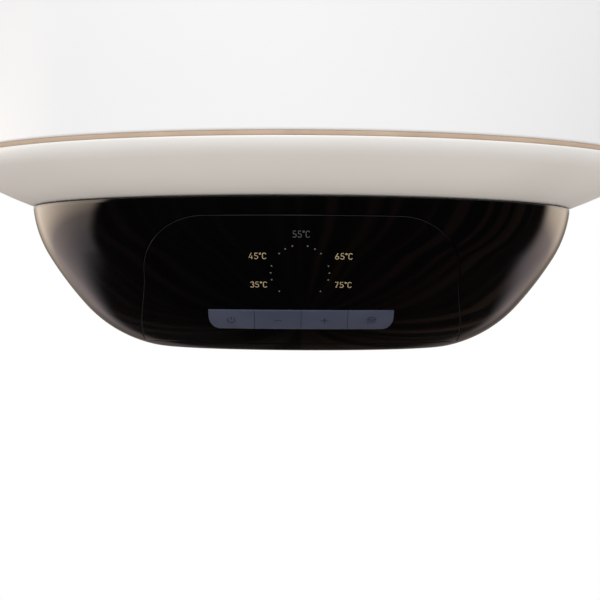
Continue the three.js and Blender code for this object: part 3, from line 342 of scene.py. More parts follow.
# Each colour and roughness, and what else surface() is told.
MATERIALS = {
    "white_enamel": ((0.88, 0.88, 0.88), 0.3, dict(bump=0.03, spread=0.02, shade=0.99, patch=6)),
    "white_plastic": ((0.86, 0.84, 0.81), 0.36, dict(grain=1600, bump=0.1, shade=0.97, patch=9)),
    "black_plastic": ((0.022, 0.022, 0.024), 0.5, dict(grain=2200, bump=0.5)),
    "key_plastic": ((0.060, 0.071, 0.118), 0.40, dict(grain=2600, bump=0.12, shade=0.88, patch=60)),
    "seal_foam": ((0.56, 0.42, 0.31), 0.85,
                  dict(grain=1400, bump=0.6, depth=0.0003, shade=0.85, patch=35, specular=0.2)),
    "polyurethane": ((0.72, 0.58, 0.28), 0.95,
                     dict(grain=500, bump=0.9, depth=0.001, patch=12, specular=0.1)),
    "tank_enamel": ((0.025, 0.07, 0.15), 0.3, dict(grain=300, bump=0.2, patch=14)),
    "zinc_steel": ((0.66, 0.67, 0.68), 0.36,
                   dict(metallic=1.0, grain=700, bump=0.12, spread=0.1, shade=0.8, patch=90)),
    "stainless": ((0.62, 0.62, 0.61), 0.25, dict(metallic=1.0, grain=500, bump=0.1, stretch=(1, 1, 0.1))),
    "rubber_black": ((0.02, 0.02, 0.02), 0.8, dict(grain=1500, bump=0.5)),
    "magnesium": ((0.42, 0.43, 0.44), 0.6, dict(metallic=0.7, grain=400, bump=0.5)),
    "brass": ((0.62, 0.42, 0.14), 0.3, dict(metallic=1.0, bump=0.12, patch=120)),
    "nickel_plate": ((0.68, 0.66, 0.61), 0.26,
                     dict(metallic=1.0, grain=600, bump=0.25, spread=0.08, patch=110)),
    "blue_plastic": ((0.012, 0.07, 0.33), 0.42, dict(grain=1800, bump=0.25)),
    "red_plastic": ((0.42, 0.016, 0.012), 0.42, dict(grain=1800, bump=0.25)),
    "circuit_board": ((0.012, 0.13, 0.045), 0.4, dict(grain=1200, bump=0.3, patch=200)),
    "clear_plastic": ((0.13, 0.13, 0.125), 0.3, dict(grain=1500, bump=0.1, patch=200)),
    "grey_silicone": ((0.26, 0.27, 0.29), 0.7, dict(grain=1500, bump=0.2)),
    "cream_plastic": ((0.74, 0.68, 0.55), 0.5, dict(grain=1500, bump=0.3)),
    "brown_wire": ((0.13, 0.045, 0.018), 0.45, {}),
    "blue_wire": ((0.02, 0.09, 0.36), 0.45, {}),
    "earth_wire": ((0.19, 0.33, 0.015), 0.45, dict(shade=0.4, patch=120)),
    "grey_wire": ((0.33, 0.33, 0.33), 0.5, {}),
    "warm_print": ((0.52, 0.41, 0.24), 0.6, dict(patch=400, shade=0.8)),
    "dim_print": ((0.085, 0.085, 0.09), 0.6, dict(patch=400, shade=0.8)),
    # The key symbols are drawn darker than the key: painted shade in place of the shading round symbols
    # moulded in the key's own colour.
    "symbol_painted_shade": ((0.020, 0.023, 0.04), 0.45, dict(patch=400, shade=0.85)),
}
made_materials = {"black_gloss": black_lacquer("black_gloss")}


def material_named(name):
    if name not in made_materials:
        color, roughness, options = MATERIALS[name]
        made_materials[name] = surface(name, color, roughness, **options)
    return made_materials[name]


# ---- outlines
def rounded(corners, steps=5):
    """A closed outline of (x, y, radius) corners, each with a radius above 0 turned into an arc."""
    points = []
    for i, (x, y, radius) in enumerate(corners):
        corner = Vector((x, y))
        if radius <= 0:
            points.append(corner)
            continue
        before = Vector(corners[i - 1][:2]) - corner
        after = Vector(corners[(i + 1) % len(corners)][:2]) - corner
        half = before.angle(after) / 2
        reach = min(radius / tan(half), 0.49 * before.length, 0.49 * after.length)
        before.normalize()
        after.normalize()
        centre = corner + (before + after).normalized() * (reach / cos(half))
        start, end = corner + before * reach - centre, corner + after * reach - centre
        turn = start.angle_signed(end)
        for k in range(steps + 1):
            arc = start.copy()
            arc.rotate(Matrix.Rotation(-turn * k / steps, 2))
            points.append(centre + arc)
    return points


def bend(start, bends, inset=0.0, step=2.0):
    """Points of a chain of arcs down and inwards. Angles are in degrees off the vertical."""
    points = []
    r, z = start
    for index, (radius, first, last) in enumerate(bends):
        centre_r = r - radius * cos(radians(first))
        centre_z = z + radius * sin(radians(first))
        count = max(2, round(radius * radians(last - first) / step))
        reach = radius - inset
        for k in range(1 if index else 0, count + 1):
            angle = radians(first + (last - first) * k / count)
            points.append((centre_r + reach * cos(angle), centre_z - reach * sin(angle)))
        r = centre_r + radius * cos(radians(last))
        z = centre_z - radius * sin(radians(last))
    return points


def evenly(low, high, count):
    return [low + (high - low) * k / count for k in range(count + 1)]
def hexagon(radius, corner):
    """A six-sided outline, the radius measured to its corners before they are rounded."""
    angles = evenly(0, 2 * pi, 6)[:-1]
    return rounded([(radius * cos(a), radius * sin(a), corner) for a in angles], 3)

# ---- mesh building
def mesh_piece(name, bm, slot, node=None, body=HOUSING, sharp=35, surface_name=None, normals=None):
    """Turns a bmesh in heater millimetres into a finished piece that rides on a body."""
    bm.transform(TO_FRAME)
    mesh = bpy.data.meshes.new(name)
    bm.to_mesh(mesh)
    bm.free()
    mesh.shade_smooth()
    mesh.set_sharp_from_angle(angle=radians(sharp))
    piece = placed(name, mesh)
    mesh.materials.append(material_named(surface_name or slot))
    if normals:
        mesh.normals_split_custom_set(normals(mesh))
    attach(piece, body)
    if node:
        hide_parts(node)
    return piece


def turn_rings(bm, rings, matrix):
    if matrix:
        bmesh.ops.transform(bm, matrix=matrix, verts=[v for ring in rings for v in ring])
    return bm


def lathe(points, sides=96, bm=None, matrix=None):
    """A solid turned about Z from closed (r, z) points, or from points that start and end on the axis."""
    bm = bm or bmesh.new()
    angles = [2 * pi * k / sides for k in range(sides)]
    rings = []
    for r, z in points:
        if r < 1e-6:
            rings.append([bm.verts.new((0, 0, z))])
        else:
            rings.append([bm.verts.new((r * cos(a), r * sin(a), z)) for a in angles])
    made = []
    for lower, upper in zip(rings, rings[1:] + rings[:1]):
        if len(lower) == 1 and len(upper) == 1:
            continue
        for k in range(sides):
            after = (k + 1) % sides
            corners = [lower[k % len(lower)], lower[after % len(lower)]]
            corners += [upper[after % len(upper)], upper[k % len(upper)]]
            made.append(bm.faces.new(list(dict.fromkeys(corners))))
    bmesh.ops.recalc_face_normals(bm, faces=made)
    return turn_rings(bm, rings, matrix)


def rod(radius, bottom, top, bore=0.0, soft=0.5, sides=48, bm=None, matrix=None):
    """A rod, or with a bore a tube, along Z with softened edges."""
    corners = [(radius, bottom, soft), (radius, top, soft)]
    corners += [(bore, top, soft if bore else 0), (bore, bottom, soft if bore else 0)]
    return lathe(rounded(corners, 3), sides, bm, matrix)


def prism(outline, bottom, top, soft=0.5, bm=None, matrix=None):
    """A convex or gently concave outline, extruded along Z, with softened rims."""
    bm = bm or bmesh.new()
    points = [Vector(p) for p in outline]
    area = sum(a.x * b.y - b.x * a.y for a, b in zip(points, points[1:] + points[:1]))
    if area < 0:
        points.reverse()
    count = len(points)
    inward = []
    for i, point in enumerate(points):
        along = (points[(i + 1) % count] - points[i - 1]).normalized()
        inward.append(Vector((-along.y, along.x)))
    steps = 3 if soft else 0
    levels = []
    for k in range(steps + 1):
        angle = pi / 2 * k / max(1, steps)
        levels.append((soft * (1 - sin(angle)), bottom + soft * (1 - cos(angle))))
    levels += [(inset, bottom + top - z) for inset, z in reversed(levels)]
    rings = [[bm.verts.new((*(p + n * inset), z)) for p, n in zip(points, inward)] for inset, z in levels]
    made = [bm.faces.new(rings[0][::-1]), bm.faces.new(rings[-1])]
    for lower, upper in zip(rings, rings[1:]):
        for k in range(count):
            after = (k + 1) % count
            made.append(bm.faces.new([lower[k], lower[after], upper[after], upper[k]]))
    return turn_rings(bm, rings, matrix)


def block(low, high, soft=0.5, corner=1.0, bm=None, matrix=None):
    """A box from its lowest to its highest corner with rounded upright edges and softened rims."""
    (x0, y0, z0), (x1, y1, z1) = low, high
    outline = rounded([(x0, y0, corner), (x1, y0, corner), (x1, y1, corner), (x0, y1, corner)], 4)
    return prism(outline, z0, z1, soft, bm, matrix)


def boolean(target, tool, operation="DIFFERENCE"):
    """The bmesh that is left when the tool is cut from, or joined to, the target."""
    objects = []
    for bm in (target, tool):
        mesh = bpy.data.meshes.new("scrap")
        bm.to_mesh(mesh)
        bm.free()
        objects.append(placed("scrap", mesh))
    modifier = objects[0].modifiers.new("boolean", "BOOLEAN")
    modifier.operation = operation
    modifier.object = objects[1]
    modifier.solver = "EXACT"
    evaluated = objects[0].evaluated_get(bpy.context.evaluated_depsgraph_get())
    result = bmesh.new()
    result.from_mesh(evaluated.to_mesh())
    evaluated.to_mesh_clear()
    for scrap in objects:
        mesh = scrap.data
        bpy.data.objects.remove(scrap)
        bpy.data.meshes.remove(mesh)
    return result


ALONG_X = Matrix.Rotation(pi / 2, 4, "Y")
ALONG_Y = Matrix.Rotation(-pi / 2, 4, "X")
UPRIGHT = Matrix.Rotation(pi / 2, 4, "X")  # stands an (x, z) outline up, facing the front


def moved(x, y, z, turn=None):
    return Matrix.Translation((x, y, z)) @ (turn or Matrix.Identity(4))


def towards_stud(side, z):
    """From the tank's axis at a height, out through the bracket's stud on one side."""
    return moved(0, 0, z, Matrix.Rotation(-side * BRACKET_ANGLE, 4, "Z") @ ALONG_Y)


# ---- casing
def add_jacket():
    lip = JACKET_RADIUS - JACKET_LIP
    wall = 0.8
    corners = [
        (lip, 0, 0), (JACKET_RADIUS, 0, 1.6), (JACKET_RADIUS, JACKET_HEIGHT, 1.6), (lip, JACKET_HEIGHT, 0),
        (lip, JACKET_HEIGHT - wall, 0), (JACKET_RADIUS - wall, JACKET_HEIGHT - wall, 0.8),
        (JACKET_RADIUS - wall, wall, 0.8), (lip, wall, 0),
    ]
    bm = lathe(rounded(corners, 6), 256)
    for side in (-1, 1):
        bm = boolean(bm, rod(9, 210, 240, soft=0, matrix=towards_stud(side, 560)))
    mesh_piece("jacket_sheet", bm, "white_enamel", "outer_jacket")


def add_seals():
    inner = span_of("lower_seal_ring")[1].x - 9
    outer = JACKET_RADIUS - SEAL_RECESS
    for name, node in (("lower_seal", "lower_seal_ring"), ("upper_seal", "upper_seal_ring")):
        low, high = (corner.z for corner in span_of(node))
        low, high = low - SEAL_SQUEEZE, high + SEAL_SQUEEZE
        ring = rounded([(inner, low, 0), (outer, low, 0.5), (outer, high, 0.5), (inner, high, 0)], 4)
        mesh_piece(name, lathe(ring, 256), "seal_foam", node)


def lid_bends(bends, step):
    """The outer and inner line of a lid's bent side."""
    return [bend((LID_RIM_RADIUS, LID_SIDE_Z), bends, inset, step) for inset in (0, LID_WALL)]


def add_lids():
    collar = JACKET_RADIUS - JACKET_LIP - 0.6
    outer, inner = lid_bends(LID_BENDS, 2)
    flat, inner_flat = LID_FLAT_Z, LID_FLAT_Z + LID_WALL
    rim = [(collar, LID_RIM_Z, 0), (LID_RIM_RADIUS, LID_RIM_Z, 0.6), (LID_RIM_RADIUS, LID_SIDE_Z, 0)]
    profile = [(collar - LID_WALL, COLLAR_TOP), (collar, COLLAR_TOP), (collar, LID_RIM_Z)]
    profile += [tuple(p) for p in rounded(rim, 3)][1:-1] + outer
    profile += [(COVER_RADIUS - 3, flat), (70, flat), (70, inner_flat), (COVER_RADIUS - 3, inner_flat)]
    profile += [p for p in reversed(inner) if p[0] < collar - 3] + [(collar - LID_WALL, LID_RIM_Z - 6)]
    bm = lathe(profile, 256)
    for side in (-1, 1):
        bm = boolean(bm, rod(17, flat - 6, flat + 9, soft=0, matrix=moved(side * PIPE_X, PIPE_BACK, 0)))
    mesh_piece("bottom_lid_dish", bm, "white_plastic", "bottom_lid")

    outer, inner = lid_bends(TOP_LID_BENDS, 4)
    profile = [(0, inner[-1][1])] + [p for p in reversed(inner[:-1]) if p[0] < collar - 3]
    profile += [(collar - LID_WALL, LID_RIM_Z - 6), (collar - LID_WALL, COLLAR_TOP)]
    profile += [(collar, COLLAR_TOP), (collar, LID_RIM_Z)]
    profile += [(LID_RIM_RADIUS - 0.6, LID_RIM_Z), (LID_RIM_RADIUS, LID_RIM_Z - 0.6)]
    profile += outer[:-1] + [(0, outer[-1][1])]
    top = [(r, JACKET_HEIGHT - z) for r, z in profile]
    mesh_piece("top_lid_dish", lathe(top, 256), "white_plastic", "top_lid")


# ---- the cover's skin
def cover_arcs():
    """Each arc of the cover's outline: where it starts along the skin, its centre, radius and angles."""
    arcs, along = [], 0.0
    r, z = COVER_RADIUS, COVER_TOP
    for radius, first, last in COVER_BENDS:
        first, last = radians(first), radians(last)
        centre = (r - radius * cos(first), z + radius * sin(first))
        arcs.append((along, centre, radius, first, last))
        along += radius * (last - first)
        r, z = centre[0] + radius * cos(last), centre[1] - radius * sin(last)
    return arcs


COVER_ARCS = cover_arcs()


def skin_at(along):
    """Radius, height and slope angle of the cover's skin at a distance along it from the rim."""
    reached = [arc for arc in COVER_ARCS if along >= arc[0]]
    start, centre, radius, first, _ = reached[-1] if reached else COVER_ARCS[0]
    angle = first + (along - start) / radius
    return centre[0] + radius * cos(angle), centre[1] - radius * sin(angle), angle


def along_at(drop):
    """Distance along the skin from the rim down to a drop."""
    z = COVER_TOP - drop
    for start, centre, radius, first, last in COVER_ARCS:
        if z >= centre[1] - radius * sin(last) - 1e-9:
            return start + radius * (asin((centre[1] - z) / radius) - first)
    raise ValueError("below the cover")


PRESS = Vector((0, cos(PANEL_TILT), sin(PANEL_TILT)))  # the way every key moves


def skin_point(x, along, depth=0.0, inward=None):
    """A point of the front of the cover at x, a distance along the skin, and a depth under it.

    The depth is square to the skin, unless another way inward is given.
    """
    radius, z, angle = skin_at(along)
    turn = asin(x / radius)
    normal = Vector((sin(turn) * cos(angle), -cos(turn) * cos(angle), -sin(angle)))
    return Vector((radius * sin(turn), -radius * cos(turn), z)) + (inward or -normal) * depth


def skin_normal(point):
    """The skin's normal nearest a point in the frame, or None where the point is off the skin."""
    local = FROM_FRAME @ Vector(point)
    radius = hypot(local.x, local.y)
    for _, centre, arc, first, last in COVER_ARCS:
        angle = atan2(centre[1] - local.z, radius - centre[0])
        if first - 1e-3 <= angle <= last + 1e-3:
            off = hypot(centre[1] - local.z, radius - centre[0]) - arc
            if -6 < off < 2:
                flat = cos(angle) / max(radius, 1e-6)
                return Vector((local.x * flat, local.y * flat, -sin(angle))), off
    return None


def skin_normals(offset=0.0, near=0.01):
    """Makes normals for the faces that lie on the skin, or on its copy an offset outside it."""
    def normals(mesh):
        found = [skin_normal(v.co) for v in mesh.vertices]
        result = [Vector((0, 0, 0))] * len(mesh.loops)
        for face in mesh.polygons:
            hits = [found[v] for v in face.vertices]
            if all(hit and abs(hit[1] - offset) < near for hit in hits):
                for loop, hit in zip(face.loop_indices, hits):
                    result[loop] = hit[0]
        return result
    return normals


# ---- outlines on the skin, as (x, drop)
def arch(grow=0.0):
    half, corner, shoulder = FASCIA_HALF_WIDTH + grow, FASCIA_CORNER + grow, FASCIA_SHOULDER + grow
    top, bottom = FASCIA_TOP - grow, FASCIA_BOTTOM + grow
    foot = half + FASCIA_FLARE
    right = [(half - corner + corner * sin(a), top + shoulder - shoulder * cos(a))
             for a in evenly(0, pi / 2, 24)]
    side = [(half + FASCIA_FLARE * t * t * (3 - 2 * t), top + shoulder + (bottom - top - shoulder) * t)
            for t in evenly(0, 1, 16)[1:-1]]
    low = [(foot * sin(a), bottom) for a in evenly(pi / 2, -pi / 2, 64)]
    left = [(-x, drop) for x, drop in reversed(right + side)]
    return right + side + low + left + [(x, top) for x in evenly(corner - half, half - corner, 36)[1:-1]]


def key_outline(x0, x1, grow=0.0):
    """The stretch of the key strip from x0 to x1, shrunk all round by a negative grow."""
    def edge(x, way):
        return x + way * grow * (1 if abs(x) == KEYS_HALF_WIDTH else KEY_JOINT)

    low, high = edge(x0, -1), edge(x1, 1)
    half, corner = KEYS_HALF_WIDTH + grow, KEYS_CORNER + grow
    ceiling = KEYS_TOP - grow * (KEY_BEVEL if grow < 0 else 1)
    flat = KEYS_HALF_WIDTH - KEYS_CORNER

    def bottom_at(x):
        past = min(corner, max(0.0, abs(x) - flat))
        return KEYS_BOTTOM + grow - corner + sqrt(corner * corner - past * past)

    def warp(t):
        """Spaces the points closely on a rounded corner."""
        x = low + (high - low) * t
        past = abs(x) - flat
        if past <= 0:
            return x
        return copysign(flat + corner * sin(min(1.0, past / (half - flat)) * pi / 2), x)

    stops = [warp(t) for t in evenly(0, 1, 28)]
    top = [(x, ceiling) for x in evenly(low, high, 28)]
    bottom = [(x, bottom_at(x)) for x in reversed(stops)]
    right = [(high, drop) for drop in evenly(ceiling, bottom[0][1], 6)[1:-1]]
    left = [(low, drop) for drop in evenly(bottom[-1][1], ceiling, 6)[1:-1]]
    return top + right + bottom + left


def dot_outline(degrees, grow=0.0):
    """The round hole of the indicator dot at an angle round the ring, drawn square to the panel."""
    angle = radians(degrees)
    middle = along_at(DOT_RING_DROP) - DOT_RING_ALONG * sin(angle)
    radius = DOT_RADIUS + grow
    points = []
    for a in evenly(0, 2 * pi, 20)[:-1]:
        x = DOT_RING_X + DOT_RING * cos(angle) + radius * cos(a)
        points.append((x, COVER_TOP - skin_at(middle - radius * sin(a))[1]))
    return points


# ---- solids that follow the skin
def inside(polygon, points):
    """For each point, whether it is inside the polygon."""
    result = []
    for px, py in points:
        odd = False
        for (x0, y0), (x1, y1) in zip(polygon, polygon[1:] + polygon[:1]):
            if (y0 > py) != (y1 > py) and px < (x1 - x0) * (py - y0) / (y1 - y0) + x0:
                odd = not odd
        result.append(odd)
    return result
def between(loops, points):
    """For each point, whether it is inside the first loop and outside the others."""
    hits = [inside(loop, points) for loop in loops]
    return [first and not any(rest) for first, *rest in zip(*hits)]

def flat_of(outline):
    return [(x, along_at(drop)) for x, drop in outline]


def skin_solid(rings_of, holes_of=(), spacing=3.0, pressed=()):
    """A closed plate that follows the cover's skin.

    rings_of and each of holes_of list (outline, depth) from the face to the back, every outline with the
    same number of points. The walls of the lists numbered in pressed run the way a key moves, and the
    others are square to the skin.
    """
    bm = bmesh.new()
    loops = [[(flat_of(outline), depth) for outline, depth in rings] for rings in (rings_of, *holes_of)]
    front = [rings[0][0] for rings in loops]
    (low_x, high_x), (low_y, high_y) = [(min(p), max(p)) for p in zip(*front[0])]
    across = max(2, round((high_x - low_x) / spacing))
    down = max(2, round((high_y - low_y) / spacing))
    grid = [(x, y) for x in evenly(low_x, high_x, across) for y in evenly(low_y, high_y, down)]
    edge_points = [Vector(p) for loop in front for p in loop]
    clear = spacing * 0.45
    near = {}
    for point in edge_points:
        near.setdefault((round(point.x / spacing), round(point.y / spacing)), []).append(point)

    def is_clear(p):
        column, row = round(p[0] / spacing), round(p[1] / spacing)
        cells = [(column + dx, row + dy) for dx in (-1, 0, 1) for dy in (-1, 0, 1)]
        return all((q - Vector(p)).length > clear for cell in cells for q in near.get(cell, ()))

    grid = [p for p, kept in zip(grid, between(front, grid)) if kept and is_clear(p)]
    points = edge_points + [Vector(p) for p in grid]
    edges, start = [], 0
    for loop in front:
        edges += [(start + k, start + (k + 1) % len(loop)) for k in range(len(loop))]
        start += len(loop)
    found, _, faces, _, _, _ = delaunay_2d_cdt(points, edges, [], 0, 1e-7)
    if len(found) != len(points):
        raise RuntimeError("an outline on the cover crosses itself")
    middles = [tuple(sum((found[v] for v in face), Vector((0, 0))) / 3) for face in faces]
    faces = [face for face, kept in zip(faces, between(front, middles)) if kept]

    face_depth, back_depth = loops[0][0][1], loops[0][-1][1]
    ways = [PRESS if i in pressed else None for i in range(len(loops))]
    top = [bm.verts.new(skin_point(p.x, p.y, face_depth, ways[0])) for p in found]
    back_edge = [(*p, way) for rings, way in zip(loops, ways) for p in rings[-1][0]]
    bottom = [bm.verts.new(skin_point(x, along, back_depth, way)) for x, along, way in back_edge]
    bottom += [bm.verts.new(skin_point(p.x, p.y, back_depth, ways[0])) for p in found[len(back_edge):]]
    for face in faces:
        bm.faces.new([top[v] for v in face])
        bm.faces.new([bottom[v] for v in reversed(face)])
    start = 0
    for rings, way in zip(loops, ways):
        count = len(rings[0][0])
        rows = [top[start:start + count]]
        rows += [[bm.verts.new(skin_point(x, along, depth, way)) for x, along in flat]
                 for flat, depth in rings[1:-1]]
        rows.append(bottom[start:start + count])
        for upper, lower in zip(rows, rows[1:]):
            for k in range(count):
                after = (k + 1) % count
                bm.faces.new([upper[k], upper[after], lower[after], lower[k]])
        start += count
    bmesh.ops.recalc_face_normals(bm, faces=bm.faces)
    return bm


def soft_rings(outline, soft, face, back, sign=-1, steps=4):
    """Rings that round an edge over, from the face to a straight wall that ends at the back."""
    rings = []
    for k in range(steps + 1):
        angle = pi / 2 * k / steps
        rings.append((outline(sign * soft * (1 - sin(angle))), face + soft * (1 - cos(angle))))
    return rings + [(outline(0), back)]


# ---- control cover, fascia, keys, printed labels, and key symbols drawn in painted shade
def behind(y):
    return block((-300, y, -300), (300, 400, 100), soft=0, corner=0)


def add_cover():
    outer = bend((COVER_RADIUS, COVER_TOP), COVER_BENDS)
    inner = bend((COVER_RADIUS, COVER_TOP), COVER_BENDS, COVER_WALL)
    rim = [(0, COVER_TOP), (COVER_RADIUS - 0.7, COVER_TOP), (COVER_RADIUS - 0.2, COVER_TOP - 0.2)]
    core = boolean(lathe(rim + outer[1:] + [(0, outer[-1][1])], 256), behind(COVER_BACK))
    hollow = lathe([(0, COVER_TOP + 5), (inner[0][0], COVER_TOP + 5)] + inner + [(0, inner[-1][1])], 192)
    shell = boolean(core, boolean(hollow, behind(COVER_BACK - COVER_WALL)))
    lip = 0.35
    cutter = [(arch(FASCIA_GAP + lip + 0.4), -2)] + soft_rings(
        lambda grow: arch(FASCIA_GAP + grow), lip, 0, COVER_WALL + 3, sign=1)
    shell = boolean(shell, skin_solid(cutter, spacing=8))
    shell = boolean(shell, rod(10, -6, 6, soft=0, matrix=moved(0, COVER_BACK - 1, GLAND_Z, ALONG_Y)))
    for side in (-1, 1):
        x = side * EAR_X
        count = len(shell.verts)
        rod(9, COVER_TOP - 3, COVER_TOP, bore=2.3, soft=0.4, bm=shell, matrix=moved(x, EAR_Y, 0))
        shell.verts.ensure_lookup_table()
        for vert in shell.verts[count:]:
            if vert.co.y < EAR_Y and abs(vert.co.x - x) > 3:
                vert.co.y = max(COVER_BACK - 1, vert.co.y - 6)
    mesh_piece("cover_bowl", shell, "black_gloss", "control_cover", sharp=40, normals=skin_normals())


def add_fascia():
    def window(grow):
        return key_outline(-KEYS_HALF_WIDTH, KEYS_HALF_WIDTH, grow)

    dots = [[(dot_outline(degrees, 0.12), depth) for depth in (0, COVER_WALL)] for degrees in DOT_ANGLES]
    holes = [soft_rings(window, 0.2, 0, COVER_WALL, sign=1), *dots]
    bm = skin_solid(soft_rings(arch, 0.35, 0, COVER_WALL), holes, pressed=(1,))
    mesh_piece("fascia_panel", bm, "black_gloss", "control_fascia", sharp=50, normals=skin_normals())


def stood_on(x, along, depth):
    """Where a rod stands square to the skin, with its foot at a depth under it."""
    foot = skin_point(x, along, depth)
    turn = (skin_point(x, along, 0) - foot).to_track_quat("Z", "Y")
    return Matrix.Translation(foot) @ turn.to_matrix().to_4x4()


def add_dots():
    bm = bmesh.new()
    shoulder, crown = 7.9, 0.25
    for degrees in DOT_ANGLES:
        outline = flat_of(dot_outline(degrees))
        x, along = [sum(p) / len(outline) for p in zip(*outline)]
        profile = [(0, 0), (DOT_RADIUS, 0), (DOT_RADIUS, shoulder)]
        profile += [(DOT_RADIUS * cos(a), shoulder + crown * sin(a))
                    for a in evenly(0, pi / 2, 5)[1:-1]]
        lathe(profile + [(0, shoulder + crown)], 20, bm, stood_on(x, along, 8))
    mesh_piece("indicator_dots", bm, "clear_plastic", "light_guide")


KEYS = ["power", "minus", "plus", "boost"]
KEY_EDGES = evenly(-KEYS_HALF_WIDTH, KEYS_HALF_WIDTH, len(KEYS))
KEY_MIDDLES = [(a + b) / 2 for a, b in zip(KEY_EDGES, KEY_EDGES[1:])]
KEYS_MIDDLE_DROP = (KEYS_TOP + KEYS_BOTTOM) / 2


def add_keys():
    for name, x0, x1, middle in zip(KEYS, KEY_EDGES, KEY_EDGES[1:], KEY_MIDDLES):
        rings = soft_rings(lambda grow: key_outline(x0, x1, grow - KEY_GAP), 0.45, -KEY_PROUD, 4.2)
        bm = skin_solid(rings, spacing=1.6, pressed=(0,))
        rod(2.5, -1.5, 4, sides=24, bm=bm, matrix=stood_on(middle, along_at(KEYS_MIDDLE_DROP), 9))
        mesh_piece(f"{name}_keycap", bm, "key_plastic", f"key_{name}", f"key_{name}", 50,
                   normals=skin_normals(KEY_PROUD, 0.06))


def laid_on_skin(name, bm, x, drop, lift, surface_name, slot, body=HOUSING):
    """Lays a flat mesh, drawn in millimetres about its middle, on the skin and thickens it a little."""
    thick = 0.06
    middle = along_at(drop)
    extruded = bmesh.ops.extrude_face_region(bm, geom=list(bm.faces))
    upper = {v for v in extruded["geom"] if isinstance(v, bmesh.types.BMVert)}
    for vert in bm.verts:
        height = -lift if vert in upper else -lift + thick
        vert.co = skin_point(x + vert.co.x, middle - vert.co.y, height)
    bmesh.ops.recalc_face_normals(bm, faces=bm.faces)
    return mesh_piece(name, bm, slot, body=body, surface_name=surface_name, sharp=30)


def turned(x, y, radius, first, last, count=14):
    """Points along an arc about (x, y), from the first angle to the last in degrees."""
    return [(x + radius * cos(radians(a)), y + radius * sin(radians(a)))
            for a in evenly(first, last, count)]


def evenly_between(start, end, count):
    return [tuple(Vector(start).lerp(Vector(end), t)) for t in evenly(0, 1, count)]


def stroke(points, width, bm):
    """A flat ribbon of the given width along (x, y) points."""
    sides = []
    for i, point in enumerate(points):
        before, after = points[max(i - 1, 0)], points[min(i + 1, len(points) - 1)]
        along = (Vector(after) - Vector(before)).normalized()
        off = Vector((-along.y, along.x)) * width / 2
        sides.append([bm.verts.new((*(Vector(point) + way), 0)) for way in (off, -off)])
    for (a, b), (c, d) in zip(sides, sides[1:]):
        bm.faces.new([a, b, d, c])


# Strokes of each character, for a capital one unit high, and the character's width.
CHARACTERS = {
    "3": (0.50, [turned(0.25, 0.73, 0.21, 150, -80), turned(0.25, 0.275, 0.235, 85, -155)]),
    "4": (0.56, [[(0.34, 0.97), (0.05, 0.26), (0.54, 0.26)], [(0.41, 0.52), (0.41, 0.02)]]),
    "5": (0.52, [[(0.46, 0.94), (0.12, 0.94), (0.10, 0.56)] + turned(0.25, 0.31, 0.25, 112, -150)]),
    "6": (0.54, [turned(0.27, 0.28, 0.22, 0, 360, 24), [(0.36, 0.97), (0.20, 0.66), (0.07, 0.36)]]),
    "7": (0.50, [[(0.04, 0.94), (0.47, 0.94), (0.36, 0.62), (0.17, 0.02)]]),
    "\u00b0": (0.26, [turned(0.13, 0.85, 0.10, 0, 360, 16)]),
    "C": (0.50, [turned(0.27, 0.71, 0.23, 15, 180) + turned(0.27, 0.28, 0.23, 180, 345)]),
}
LETTER_GAP = 0.15
LETTER_WEIGHT = 0.105


def lettering(words, height):
    """A flat bmesh of plain figures of the given height, centred."""
    bm = bmesh.new()
    width = sum(CHARACTERS[c][0] + LETTER_GAP for c in words) - LETTER_GAP
    left = -width / 2
    for character in words:
        wide, strokes = CHARACTERS[character]
        for points in strokes:
            at = [((left + x) * height, (y - 0.5) * height) for x, y in points]
            stroke(at, LETTER_WEIGHT * height, bm)
        left += wide + LETTER_GAP
    return bm


TEMPERATURES = [(35, -24.6, 49.7), (45, -25.1, 33.5), (55, -0.3, 21.3), (65, 24, 33.5), (75, 24, 49.7)]


def add_prints():
    for degrees, x, drop in TEMPERATURES:
        ink = "dim_print" if degrees == 55 else "warm_print"
        laid_on_skin(f"label_{degrees}", lettering(f"{degrees}°C", 4.3), x, drop, 0.04, ink, "clear_plastic")


# Strokes of each key's symbol, in millimetres, and how wide they are.
ACROSS = evenly_between((-2.3, 0), (2.3, 0), 6)
DROPS = [evenly_between((x, 0.1), (x - 0.5, -2.6), 3) for x in [-1.5 + 1.3 * k for k in range(4)]]
SYMBOLS = {
    "power": [(0.55, [turned(0, 0, 2.3, 125, 415, 24), [(0, 0.4), (0, 3.0)]])],
    "minus": [(0.55, [ACROSS])],
    "plus": [(0.55, [ACROSS, *(evenly_between((0, z), (0, z + 1.95), 3) for z in (0.35, -2.3))])],
    "boost": [(0.55, [turned(0.4, 1.0, 2.3, 0, 180, 24), evenly_between((-2.4, 0.9), (3.2, 0.9), 8)]),
              (0.4, DROPS)],
}


def add_symbols():
    for name, middle in zip(KEYS, KEY_MIDDLES):
        bm = bmesh.new()
        for width, strokes in SYMBOLS[name]:
            for points in strokes:
                stroke(points, width, bm)
        # Each symbol is a thin layer darker than its key, painted shade standing in for the shading round
        # a moulded symbol.
        laid_on_skin(f"{name}_symbol", bm, middle, KEYS_MIDDLE_DROP + 0.3, KEY_PROUD + 0.05, "symbol_painted_shade",
                "key_plastic", f"key_{name}")


# ---- water connections
PITCH = 1.814
VALVE_Z = -78
LEVER_PIVOT = 56.5
DRAIN_X = 22


def thread(radius, low, high, pitch=PITCH, depth=0.7):
    """The outline of a screw thread's ridges, each started below the height given as high."""
    points, z = [], low
    while z < high:
        points += [(radius - depth, z), (radius - 0.08, z + pitch * 0.4), (radius - 0.08, z + pitch * 0.6)]
        z += pitch
    return points


